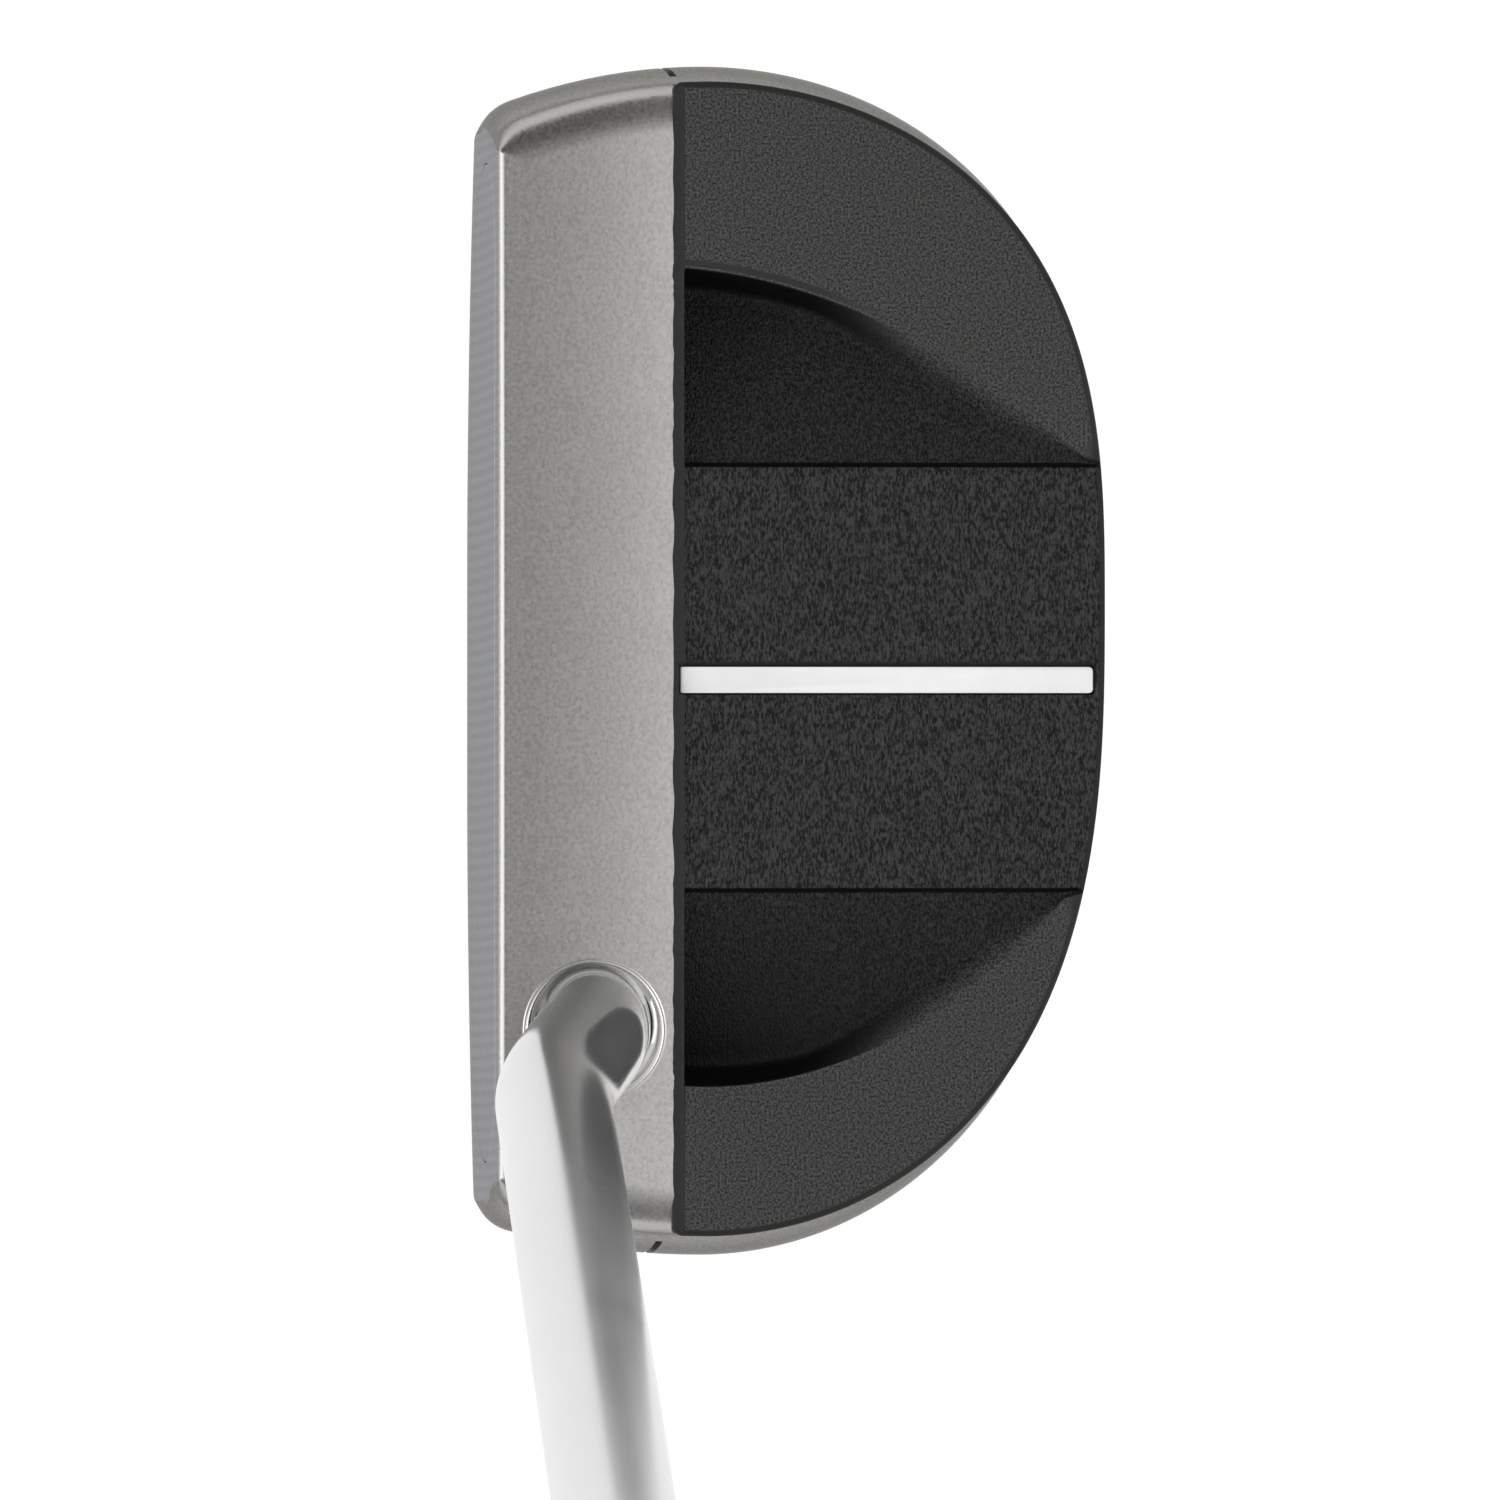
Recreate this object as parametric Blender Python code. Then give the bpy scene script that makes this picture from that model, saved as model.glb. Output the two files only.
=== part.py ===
"""A right-handed mid-size mallet putter, 35 inches long, as its separate pieces, in metres.

+Z is up with the sole on the ground at z = 0. The face looks along -Y, the toe points along -X, and
the shaft leans 20 degrees towards +X. The origin is the middle of the flat on the sole plate.

The head's parts are drawn on a level sole and a level crown. settle() then cambers the sole from heel
to toe and lets the crown fall away towards the face. Sockets and screw holes are drilled after that.
"""

import math

import bmesh
import bpy
from mathutils import Vector

MM = 0.001
GAP = 0.3 * MM  # clearance between neighbouring pieces

# Head: heights
HEIGHT = 25.0 * MM  # crown above the sole
DECK_SPLIT = 20.0 * MM  # top of the skirt, where the deck's flange rests
SHELF = 15.2 * MM  # ledge behind the crown band that carries the deck
TRAY_FLOOR = 1.8 * MM  # inside of the sole below the deck

# Head: outline, seen from above
FACE = -13.0 * MM  # top edge of the face
LOFT = math.radians(4.0)
WIDEST = Vector((-6.8, 4.7)) * MM  # centre of the two half super-ellipses
SIDE_POWER, REAR_POWER = 2.9, 1.98  # squareness of the outline across and towards the rear
CROWN_TOE, CROWN_HEEL, CROWN_REAR = -51.25 * MM, 47.65 * MM, 38.95 * MM
SKIRT_TOE, SKIRT_HEEL, SKIRT_REAR = -53.0 * MM, 49.6 * MM, 39.3 * MM
TOE_TAPER, HEEL_TAPER = 12.4, 8.7  # how fast the ends draw in towards the face, per metre
CORNER = 2.4 * MM  # reach of the rounding between face and ends
DECK_FRONT = 1.9 * MM
TRAY_FRONT = 4.0 * MM
TRAY_WALL = 2.2 * MM
REAR_STEPS = 36

# Sole camber and crown fall
FLAT_HALF_WIDTH = 8.0 * MM
CAMBER_RADIUS = 140.0 * MM
CROWN_RADIUS = 110.0 * MM
SETTLE_X = (8, 14, 20, 27, 34, 41, 46)  # mm either side of the middle where the curves get edges
SETTLE_Y = (0, 4, 8, 11.5)  # mm ahead of the deck where they get edges

# Deck
BAND_TOE, BAND_HEEL = -18.2 * MM, 17.8 * MM
BAND_DROP = 0.25 * MM
RIM = 0.55 * MM  # plain lip along the deck's front edge
SCOOP_DEPTH = 6.4 * MM
SCOOP_STEP = 0.8 * MM  # fall from the band to a scoop's floor
DECK_EDGE = 0.45 * MM
DECK_STEPS = 13
PLUG_SCALE = (0.9, 0.875, 0.4 * MM)  # the deck's plug against its top: width, depth, set back
TOE_ARC = [Vector(p) * MM for p in ((-35.3, 2.45), (-34.4, 14.5), (-28.3, 26.6), (-18.9, 37.4))]
HEEL_ARC = [Vector(p) * MM for p in ((34.8, 2.45), (35.6, 13.5), (29.6, 27.0), (18.4, 35.6))]
LINE_WIDTH = 2.23 * MM
LINE_DEPTH = 0.9 * MM
LINE_END = 1.0 * MM  # black left between the line and the rear edge

# Face insert
INSERT_THICK = 1.6 * MM
INSERT_TOE, INSERT_HEEL = -44.5 * MM, 41.5 * MM
INSERT_TOP, INSERT_BOTTOM = 21.8 * MM, 4.6 * MM
FILM_THICK = 0.25 * MM

# Sole plate and weights
PLATE_TOE, PLATE_HEEL, PLATE_HALF_DEPTH, PLATE_THICK = -43.5 * MM, 19.0 * MM, 7.2 * MM, 1.8 * MM
PLATE_Y = -2.4 * MM  # the plate's middle line
HOLLOW_TOE, HOLLOW_HEEL, HOLLOW_HALF_DEPTH, HOLLOW_TOP = -38.0 * MM, 13.2 * MM, 4.8 * MM, 21.5 * MM
HOLLOW_Y = -4.2 * MM
PLATE_SCREWS_X = (-40.6 * MM, 16.0 * MM)
WEIGHT_RADIUS, WEIGHT_LENGTH = 6.0 * MM, 6.5 * MM
WEIGHTS = {"toe_weight": Vector((-36.0, 20.0)) * MM, "heel_weight": Vector((34.0, 20.0)) * MM}
DECK_SCREWS = [Vector(p) * MM for p in ((-43.0, 6.2), (38.5, 6.0), (-11.5, 28.0), (11.5, 28.0))]
DECK_SCREW_TOP = 20.6 * MM
RELIEF_HALF_WIDTH, RELIEF_TOP = 15.0 * MM, 22.2 * MM  # pocket under the deck's central band
RELIEF_FRONT, RELIEF_REAR = 6.5 * MM, 22.5 * MM
SKIRT_SLOTS = ((-1, 1.6 * MM), (1, 0.4 * MM))  # end of the head (-1 toe, 1 heel), slot's place in y

# Shaft: it leans towards the golfer, and two bends carry it forward in line with the face
SHAFT_LEAN = math.radians(20.0)
TIP_RADIUS = 4.955 * MM
SHAFT_WALL = 0.5 * MM
SOCKET = Vector((30.0, -4.9, 25.0)) * MM  # where the socket's axis meets the crown
SOCKET_RADIUS, SOCKET_DEPTH = 5.3 * MM, 18.6 * MM
RECESS_RADIUS, RECESS_DEPTH = 6.0 * MM, 1.5 * MM
BEND_START = -3.0 * MM  # first bend, along the axis from the crown
BEND_ANGLE = math.radians(18.0)
BEND_RADIUS = 24.0 * MM
BEND_OFFSET = 4.5 * MM  # how far forward the two bends carry the shaft
CLUB_LENGTH = 889.0 * MM
FIRST_STEP, STEP_PITCH, STEP_COUNT, STEP_GROWTH = 330.0 * MM, 38.0 * MM, 7, 0.342 * MM
STEP_LENGTH = 2.5 * MM
SHAFT_SIDES = 20

# Grip, measured down the axis from the butt
GRIP_LENGTH = 267.0 * MM
CAP_THICK = 4.0 * MM
COLLAR_LENGTH = 5.0 * MM
WRAP_THICK = 1.6 * MM
TAPE_THICK = 0.35 * MM
VENT_RADIUS = 1.6 * MM
GRIP_SIDES = 28
GRIP_STATIONS = 10


# ---------------------------------------------------------------- building blocks


def material(name, colour, metallic, roughness):
    made = bpy.data.materials.new(name)
    made.use_nodes = True
    shader = made.node_tree.nodes["Principled BSDF"]
    shader.inputs["Base Color"].default_value = (*colour, 1)
    shader.inputs["Metallic"].default_value = metallic
    shader.inputs["Roughness"].default_value = roughness
    made.diffuse_color = (*colour, 1)
    return made


def add_object(name, mesh):
    made = bpy.data.objects.new(name, mesh)
    bpy.context.scene.collection.objects.link(made)
    return made


def from_bmesh(name, bm):
    bmesh.ops.recalc_face_normals(bm, faces=bm.faces)
    mesh = bpy.data.meshes.new(name)
    bm.to_mesh(mesh)
    bm.free()
    return add_object(name, mesh)


def skin(name, rings, looped=False):
    """A closed body over rings of equal count; looped joins the last ring to the first."""
    bm = bmesh.new()
    loops = [[bm.verts.new(point) for point in ring] for ring in rings]
    pairs = list(zip(loops, loops[1:]))
    if looped:
        pairs.append((loops[-1], loops[0]))
    else:
        bm.faces.new(loops[0])
        bm.faces.new(loops[-1])
    for low, high in pairs:
        for i in range(len(low)):
            j = (i + 1) % len(low)
            bm.faces.new((low[i], low[j], high[j], high[i]))
    return from_bmesh(name, bm)


def prism(name, outline, bottom, top):
    """A flat outline of (x, y) points, drawn up from bottom to top."""
    return skin(name, [[(p[0], p[1], z) for p in outline] for z in (bottom, top)])


def circle(centre, axis, radius, sides, turn=0.0):
    """Points round axis, which start on the side that faces furthest along -X."""
    across = Vector((-1, 0, 0)) - axis * -axis.x
    across = across.normalized() if across.length > 1e-6 else Vector((0, 0, 1))
    along = axis.cross(across)
    angles = [turn + math.tau * i / sides for i in range(sides)]
    return [centre + radius * (across * math.cos(a) + along * math.sin(a)) for a in angles]


def rod(name, start, end, radius, sides=24):
    axis = (end - start).normalized()
    return skin(name, [circle(start, axis, radius, sides), circle(end, axis, radius, sides)])


def stadium(toe, heel, half_depth, centre_y=0.0, sides=8):
    """A slot-shaped outline along X with round ends."""
    points = []
    for end, turn in ((heel - half_depth, -math.pi / 2), (toe + half_depth, math.pi / 2)):
        for i in range(sides + 1):
            angle = turn + math.pi * i / sides
            points.append((end + half_depth * math.cos(angle), centre_y + half_depth * math.sin(angle)))
    return points


def combine(target, other, operation):
    """Applies a Boolean to target and removes the other body."""
    modifier = target.modifiers.new(operation.lower(), "BOOLEAN")
    modifier.operation = operation
    modifier.object = other
    modifier.solver = "EXACT"
    graph = bpy.context.evaluated_depsgraph_get()
    mesh = bpy.data.meshes.new_from_object(target.evaluated_get(graph))
    target.modifiers.clear()
    target.data = mesh
    bpy.data.objects.remove(other)
    return target


def cut(target, *cutters):
    for cutter in cutters:
        combine(target, cutter, "DIFFERENCE")
    return target


def join(target, *others):
    for other in others:
        combine(target, other, "UNION")
    return target


def finish(obj, look, sharp_degrees=32):
    obj.data.materials.clear()
    obj.data.materials.append(look)
    obj.data.shade_smooth()
    obj.data.set_sharp_from_angle(angle=math.radians(sharp_degrees))
    return obj


# ---------------------------------------------------------------- shape of the head


def camber(x):
    """Rise of the sole at x."""
    return max(0.0, abs(x) - FLAT_HALF_WIDTH) ** 2 / (2 * CAMBER_RADIUS)


def settled(point):
    """Where a point of the level head lies once the sole is cambered and the crown falls to the face."""
    x, y, z = point
    level = z / HEIGHT
    fall = max(0.0, DECK_FRONT - y) ** 2 / (2 * CROWN_RADIUS)
    rise = camber(x) * (1 - level) - fall * max(0.0, level) ** 2
    return Vector((x, y + rise * math.tan(LOFT), z + rise))


def settle(obj):
    """Adds the edges that the two curves need and moves the whole mesh onto them."""
    bm = bmesh.new()
    bm.from_mesh(obj.data)
    planes = [(side * x * MM, Vector((1, 0, 0))) for x in SETTLE_X for side in (-1, 1)]
    planes += [(DECK_FRONT - y * MM, Vector((0, 1, 0))) for y in SETTLE_Y]
    for place, normal in planes:
        geometry = bm.verts[:] + bm.edges[:] + bm.faces[:]
        bmesh.ops.bisect_plane(bm, geom=geometry, dist=1e-6, plane_co=normal * place, plane_no=normal)
    for vertex in bm.verts:
        vertex.co = settled(vertex.co)
    bmesh.ops.triangulate(bm, faces=[face for face in bm.faces if len(face.verts) > 4])
    bm.to_mesh(obj.data)
    bm.free()
    return obj


def outline(toe, heel, rear):
    """The head seen from above, from the toe's front corner round the rear to the heel and back."""
    corners = []
    for side, end, taper in ((-1, toe, TOE_TAPER), (1, heel, HEEL_TAPER)):
        stretch = []
        start = FACE + CORNER
        for share in (0, 0.28, 0.52, 0.76):
            y = start + (WIDEST.y - start) * share
            stretch.append(Vector((end - side * taper * (WIDEST.y - y) ** 2, y)))
        slope = 2 * taper * (WIDEST.y - start)
        tip = Vector((stretch[0].x - side * slope * CORNER, FACE))
        turn = (tip - Vector((side * CORNER, 0)), tip, stretch[0])
        corners.append([bezier(turn, i / 4) for i in range(4)] + stretch)
    rear_edge = []
    for i in range(REAR_STEPS + 1):
        angle = math.pi * (1 - i / REAR_STEPS)
        reach = (WIDEST.x - toe) if angle > math.pi / 2 else (heel - WIDEST.x)
        x = WIDEST.x + math.copysign(abs(math.cos(angle)) ** (2 / SIDE_POWER) * reach, math.cos(angle))
        y = WIDEST.y + (rear - WIDEST.y) * math.sin(angle) ** (2 / REAR_POWER)
        rear_edge.append(Vector((x, y)))
    toe_end, heel_end = corners[0][0].x, corners[1][0].x
    along_face = [Vector((heel_end + (toe_end - heel_end) * i / 8, FACE)) for i in range(1, 8)]
    return corners[0] + rear_edge + corners[1][::-1] + along_face


def bezier(points, t):
    """A point of the Bezier curve through any number of control points."""
    while len(points) > 1:
        points = [a.lerp(b, t) for a, b in zip(points, points[1:])]
    return points[0]


def drawn_in(points, side_inset, front_inset):
    """The outline moved inwards, by one amount at the face and another at the ends and rear."""
    moved = []
    for i, point in enumerate(points):
        tangent = points[(i + 1) % len(points)] - points[i - 1]
        outward = Vector((-tangent.y, tangent.x)).normalized()
        amount_y = side_inset if point.y > WIDEST.y else front_inset
        moved.append(Vector((point.x - outward.x * side_inset, point.y - outward.y * amount_y)))
    return moved


def head_ring(z, crown_share, side_inset, front_inset):
    """One level of the outside: crown_share 0 is the skirt's widest outline, 1 the crown's."""
    ends = ((SKIRT_TOE, CROWN_TOE), (SKIRT_HEEL, CROWN_HEEL), (SKIRT_REAR, CROWN_REAR))
    mixed = [low + (high - low) * crown_share for low, high in ends]
    flat = drawn_in(outline(*mixed), side_inset, front_inset)
    ring = []
    for point in flat:
        forward = min(1.0, max(0.0, (WIDEST.y - point.y) / (WIDEST.y - FACE)))
        ring.append((point.x, point.y - (HEIGHT - z) * math.tan(LOFT) * forward, z))
    return ring


def head_blank():
    """The outside of the whole head before the face, deck and sole pieces are let in."""
    levels = (  # height, share of the crown's outline, inset at the ends and rear, inset at the face
        (0.0, 0.0, 5.0, 1.3), (0.8, 0.0, 2.6, 0.35), (2.8, 0.0, 0.9, 0.0), (7.0, 0.0, 0.0, 0.0),
        (12.0, 0.12, 0.0, 0.0), (16.0, 0.5, 0.0, 0.0), (20.0, 1.0, 0.0, 0.0), (22.4, 1.0, 0.8, 0.0),
        (24.0, 1.0, 2.0, 0.0), (24.65, 1.0, 3.0, 0.15), (25.0, 1.0, 4.4, 0.65),
    )
    rings = [head_ring(z * MM, share, side * MM, front * MM) for z, share, side, front in levels]
    return skin("head_body", rings)


def rear_outline(inset, front):
    """The crown's outline, moved inwards, behind a straight front edge."""
    whole = drawn_in(outline(CROWN_TOE, CROWN_HEEL, CROWN_REAR), inset, inset)
    behind = [point for point in whole if point.y > front + 0.5 * MM]
    first, last = behind[0], behind[-1]
    return [Vector((first.x, front))] + behind + [Vector((last.x, front))]


def on_face(x, z, depth):
    """A point at height z, depth behind the lofted face."""
    return Vector((x, FACE - (HEIGHT - z) * math.tan(LOFT) + depth / math.cos(LOFT), z))


def insert_block(name, margin, front, back):
    """The face insert's outline, grown by margin, between two depths behind the face."""
    half = (INSERT_TOP - INSERT_BOTTOM) / 2
    middle = (INSERT_TOP + INSERT_BOTTOM) / 2
    flat = stadium(INSERT_TOE - margin, INSERT_HEEL + margin, half + margin, middle, sides=10)
    return skin(name, [[on_face(x, z, depth) for x, z in flat] for depth in (front, back)])


# ---------------------------------------------------------------- head parts


def drill_deck_screws(target, radius, top):
    for place in DECK_SCREWS:
        low = Vector((*place, -2 * MM))
        cut(target, rod("drill", low, Vector((*place, top)), radius, 16))


def make_body(look):
    body = head_blank()
    above = 2 * HEIGHT
    cut(
        body,
        insert_block("pocket", GAP, -4 * MM, INSERT_THICK + FILM_THICK + 2 * GAP),
        prism("deck_room", [(-0.07, DECK_FRONT), (0.07, DECK_FRONT), (0.07, 0.06), (-0.07, 0.06)],
              DECK_SPLIT - GAP, above),
        prism("shelf", rear_outline(TRAY_WALL, DECK_FRONT), SHELF, above),
        prism("tray", rear_outline(TRAY_WALL, TRAY_FRONT), TRAY_FLOOR, above),
        prism("plate_room", stadium(PLATE_TOE - GAP, PLATE_HEEL + GAP, PLATE_HALF_DEPTH + GAP, PLATE_Y),
              -5 * MM, PLATE_THICK + GAP),
        prism("hollow", stadium(HOLLOW_TOE, HOLLOW_HEEL, HOLLOW_HALF_DEPTH, HOLLOW_Y), 0.5 * MM, HOLLOW_TOP),
    )
    for place in WEIGHTS.values():
        low = Vector((*place, 1.0 * MM))
        join(body, rod("pad", low, low + Vector((0, 0, 8.6 * MM)), WEIGHT_RADIUS + 2 * MM))
    for place in DECK_SCREWS:
        low = Vector((*place, 1.0 * MM))
        join(body, rod("post", low, Vector((*place, SHELF)), 3.6 * MM, 20))
    settle(body)
    for place in WEIGHTS.values():
        low = Vector((*place, -2 * MM))
        top = Vector((*place, camber(place.x) + WEIGHT_LENGTH + 2 * GAP))
        cut(body, rod("port", low, top, WEIGHT_RADIUS + GAP, 28))
    for place in DECK_SCREWS:
        low = Vector((*place, -2 * MM))
        cut(body, rod("seat", low, Vector((*place, camber(place.x) + 2.9 * MM)), 3.1 * MM, 20))
    drill_deck_screws(body, 1.5 * MM + GAP, SHELF + 3 * MM)
    for x in PLATE_SCREWS_X:
        low = Vector((x, PLATE_Y, camber(x) + 1.0 * MM))
        cut(body, rod("drill", low, low + Vector((0, 0, 6.4 * MM)), 1.0 * MM + GAP, 12))
    cut(
        body,
        rod("socket", shaft_point(-SOCKET_DEPTH), shaft_point(8 * MM), SOCKET_RADIUS, 32),
        rod("recess", shaft_point(-RECESS_DEPTH), shaft_point(8 * MM), RECESS_RADIUS, 32),
    )
    for side, y in SKIRT_SLOTS:
        cut(body, skirt_slot(side, y))
    return finish(body, look)


def skirt_slot(side, y):
    """A narrow slanted groove down the skirt just ahead of the deck."""
    x = (SKIRT_TOE if side < 0 else SKIRT_HEEL) + side * 2 * MM
    deep = x - side * 5.2 * MM
    low, high, half = 5 * MM, 19.2 * MM, 0.45 * MM
    rings = []
    for place in (x, deep):
        rings.append([(place, y - 1.0 * MM - half, low), (place, y - 1.0 * MM + half, low),
                      (place, y + 0.6 * MM + half, high), (place, y + 0.6 * MM - half, high)])
    return skin("slot", rings)


def make_insert(look):
    return finish(settle(insert_block("face_insert", 0.0, 0.0, INSERT_THICK)), look)


def make_film(look):
    back = INSERT_THICK + GAP
    return finish(settle(insert_block("face_bond_film", -1.2 * MM, back, back + FILM_THICK)), look)


def rear_edge_y(x):
    """The crown outline's rear edge at x."""
    reach = (WIDEST.x - CROWN_TOE) if x < WIDEST.x else (CROWN_HEEL - WIDEST.x)
    share = abs(x - WIDEST.x) / reach
    return WIDEST.y + (CROWN_REAR - WIDEST.y) * (1 - share**SIDE_POWER) ** (1 / REAR_POWER)


def end_outline(band_x, front):
    """The crown outline from the deck's front corner round to a point beside the central band."""
    side = math.copysign(1, band_x)
    end = CROWN_TOE if side < 0 else CROWN_HEEL
    taper = TOE_TAPER if side < 0 else HEEL_TAPER
    line = [Vector((end - side * taper * (WIDEST.y - front) ** 2, front))]
    last_x = band_x + side * 2.6 * MM
    for i in range(61):
        angle = math.pi / 2 * (i / 60)
        x = WIDEST.x + side * abs(end - WIDEST.x) * math.cos(angle) ** (2 / SIDE_POWER)
        if side * (x - last_x) > 0:
            line.append(Vector((x, rear_edge_y(x))))
    line.append(Vector((last_x, rear_edge_y(last_x))))
    return line


def along(line, share):
    """The point this share of the way along a line of points."""
    steps = [(b - a).length for a, b in zip(line, line[1:])]
    left = share * sum(steps)
    for a, b, step in zip(line, line[1:], steps):
        if left <= step:
            return a.lerp(b, left / step)
        left -= step
    return line[-1].copy()


def deck_half_row(band_x, arc, share):
    """One row of the deck's top from its outer edge in to the central band, as (x, y, drop) points."""
    front = DECK_FRONT + GAP
    side = math.copysign(1, band_x)
    line = end_outline(band_x, front)
    outer = along(line, share)
    near = along(line, min(1.0, share + 0.01)) - along(line, max(0.0, share - 0.01))
    inward = Vector((near.y, -near.x)).normalized() * -side
    inner = outer + inward * DECK_EDGE
    ridge = bezier(arc, share)
    ridge.y += (front + RIM - arc[0].y) * (1 - share)
    band = Vector((band_x, front + (rear_edge_y(band_x) - front) * share))
    depth = SCOOP_STEP * (1 - 0.5 * share) + BAND_DROP
    deep = depth + (SCOOP_DEPTH - depth) * (1 - share) ** 1.3 * (1 - share**4)
    wall = (0.7 + 4.0 * share * (1 - share)) * MM
    reach = (band - ridge).length
    foot = ridge.lerp(band, min(0.3, wall / reach))
    middle = foot.lerp(band, 0.5)
    lip = band + Vector((side * 0.25 * MM, 0))
    places = [outer, inner, inner.lerp(ridge, 0.5), ridge, foot, middle, lip, band]
    if share == 1:  # the rear row lies on the outline
        steps = [i / (len(places) - 1) for i in range(len(places))]
        places = [Vector((outer.x + (band.x - outer.x) * step, 0)) for step in steps]
        places = [Vector((place.x, rear_edge_y(place.x))) for place in places]
    drops = (DECK_EDGE, 0.0, 0.0, 0.0, deep, deep * 0.45 + depth * 0.55, depth, BAND_DROP)
    return [(*place, drop) for place, drop in zip(places, drops)]


def deck_row(share, front_row):
    """A row of the deck's top from toe to heel; front rows keep their y and have no scoops."""
    toe = deck_half_row(BAND_TOE, TOE_ARC, share)
    heel = deck_half_row(BAND_HEEL, HEEL_ARC, share)
    front = DECK_FRONT + GAP
    band = []
    for x in (-6.0 * MM, 6.0 * MM):
        band.append((x, front + (rear_edge_y(x) - front) * share, BAND_DROP))
    row = toe + band + heel[::-1]
    if front_row is None:
        return row
    y, lip_drop = front_row
    return [(x, y, max(lip_drop, DECK_EDGE if drop == DECK_EDGE else 0.0)) for x, _, drop in row]


def make_deck(look):
    """The black rear deck: a grid over its top, a flange on the skirt and a plug down into the tray."""
    front = DECK_FRONT + GAP
    rows = [deck_row(0.0, (front, 0.25 * MM)), deck_row(0.0, (front + 0.2 * MM, 0.0)),
            deck_row(0.0, (front + RIM, 0.0))]
    rows += [deck_row(max(0.03, i / DECK_STEPS), None) for i in range(DECK_STEPS + 1)]
    rear = [(x, y - DECK_EDGE * 0.9, drop) for x, y, drop in rows[-1]]
    rows[-1:] = [rear, [(x, y, max(drop, DECK_EDGE)) for x, y, drop in rows[-1]]]
    bm = bmesh.new()
    grid = [[bm.verts.new((x, y, HEIGHT - drop)) for x, y, drop in row] for row in rows]
    for low, high in zip(grid, grid[1:]):
        for i in range(len(low) - 1):
            bm.faces.new((low[i], low[i + 1], high[i + 1], high[i]))
    loop = grid[0] + [row[-1] for row in grid[1:]] + grid[-1][-2::-1] + [row[0] for row in grid[-2:0:-1]]
    rings = [loop]
    for z, scale in ((DECK_SPLIT, (1, 1, 0)), (DECK_SPLIT, PLUG_SCALE), (SHELF + GAP, PLUG_SCALE)):
        ring = [(v.co.x * scale[0], front + scale[2] + (v.co.y - front) * scale[1], z) for v in loop]
        rings.append([bm.verts.new(point) for point in ring])
    for high, low in zip(rings, rings[1:]):
        for i in range(len(high)):
            j = (i + 1) % len(high)
            bm.faces.new((high[i], high[j], low[j], low[i]))
    bm.faces.new(rings[-1])
    bmesh.ops.remove_doubles(bm, verts=bm.verts, dist=0.02 * MM)
    deck = from_bmesh("rear_deck", bm)
    corners = [(-RELIEF_HALF_WIDTH, RELIEF_FRONT), (RELIEF_HALF_WIDTH, RELIEF_FRONT),
               (RELIEF_HALF_WIDTH, RELIEF_REAR), (-RELIEF_HALF_WIDTH, RELIEF_REAR)]
    cut(
        deck,
        line_bar("line_slot", GAP, -LINE_DEPTH, 3 * MM),
        prism("relief", corners, SHELF - MM, RELIEF_TOP),
    )
    settle(deck)
    drill_deck_screws(deck, 1.5 * MM + GAP, DECK_SCREW_TOP + GAP)
    return finish(deck, look, 40)


def line_bar(name, margin, low, high):
    """The sightline's outline, from the deck's front lip to just short of its rear edge."""
    half = LINE_WIDTH / 2 + margin
    start = DECK_FRONT + GAP + 0.35 * MM - margin
    end = rear_edge_y(0) - LINE_END + margin
    points = [(-half, start), (half, start), (half, end - 0.3 * MM), (half - 0.3 * MM, end),
              (0.3 * MM - half, end), (-half, end - 0.3 * MM)]
    base = HEIGHT - BAND_DROP
    return prism(name, points, base + low, base + high)


def make_sightline(look):
    return finish(line_bar("sightline_fill", 0.0, -LINE_DEPTH + GAP, 0.0), look)


def make_sole_plate(look):
    flat = stadium(PLATE_TOE, PLATE_HEEL, PLATE_HALF_DEPTH, PLATE_Y)
    plate = prism("sole_plate", flat, 0.0, PLATE_THICK)
    settle(plate)
    for x in PLATE_SCREWS_X:
        low, seat = Vector((x, PLATE_Y, -1 * MM)), Vector((x, PLATE_Y, camber(x) + 1.0 * MM))
        cut(plate, rod("drill", low, Vector((x, PLATE_Y, 0.01)), 1.0 * MM + GAP, 12))
        cut(plate, rod("seat", low, seat, 1.9 * MM + GAP, 16))
    return finish(plate, look)


def turned(name, place, profile, sides):
    """A turned body on a vertical axis: (radius, height) pairs from the bottom face to the top face."""
    rings = []
    for radius, height in profile:
        rings.append(circle(place + Vector((0, 0, height)), Vector((0, 0, 1)), radius, sides))
    return skin(name, rings)


def make_screw(name, place, head_radius, head_height, shank_radius, length, look):
    """A cap screw driven upwards, with a hex socket in its head."""
    chamfer = 0.25 * MM
    profile = [(head_radius - chamfer, 0), (head_radius, chamfer), (head_radius, head_height),
               (shank_radius, head_height), (shank_radius, length - chamfer),
               (shank_radius - chamfer, length)]
    screw = turned(name, place, profile, 16)
    depth = Vector((0, 0, head_height * 0.7))
    cut(screw, rod("key", place - Vector((0, 0, MM)), place + depth, head_radius * 0.55, 6))
    return finish(screw, look)


def make_weight(name, place, look):
    """A threaded sole weight with a hex socket, level with the sole around it."""
    base = Vector((*place, camber(place.x) + 0.25 * MM))
    chamfer = 0.5 * MM
    profile = [(WEIGHT_RADIUS - chamfer, 0), (WEIGHT_RADIUS, chamfer),
               (WEIGHT_RADIUS, WEIGHT_LENGTH - chamfer), (WEIGHT_RADIUS - chamfer, WEIGHT_LENGTH)]
    weight = turned(name, base, profile, 28)
    cut(weight, rod("key", base - Vector((0, 0, MM)), base + Vector((0, 0, 3 * MM)), 2.6 * MM, 6))
    return finish(weight, look)


# ---------------------------------------------------------------- shaft


def shaft_axis():
    return Vector((math.sin(SHAFT_LEAN), 0, math.cos(SHAFT_LEAN)))


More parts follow.
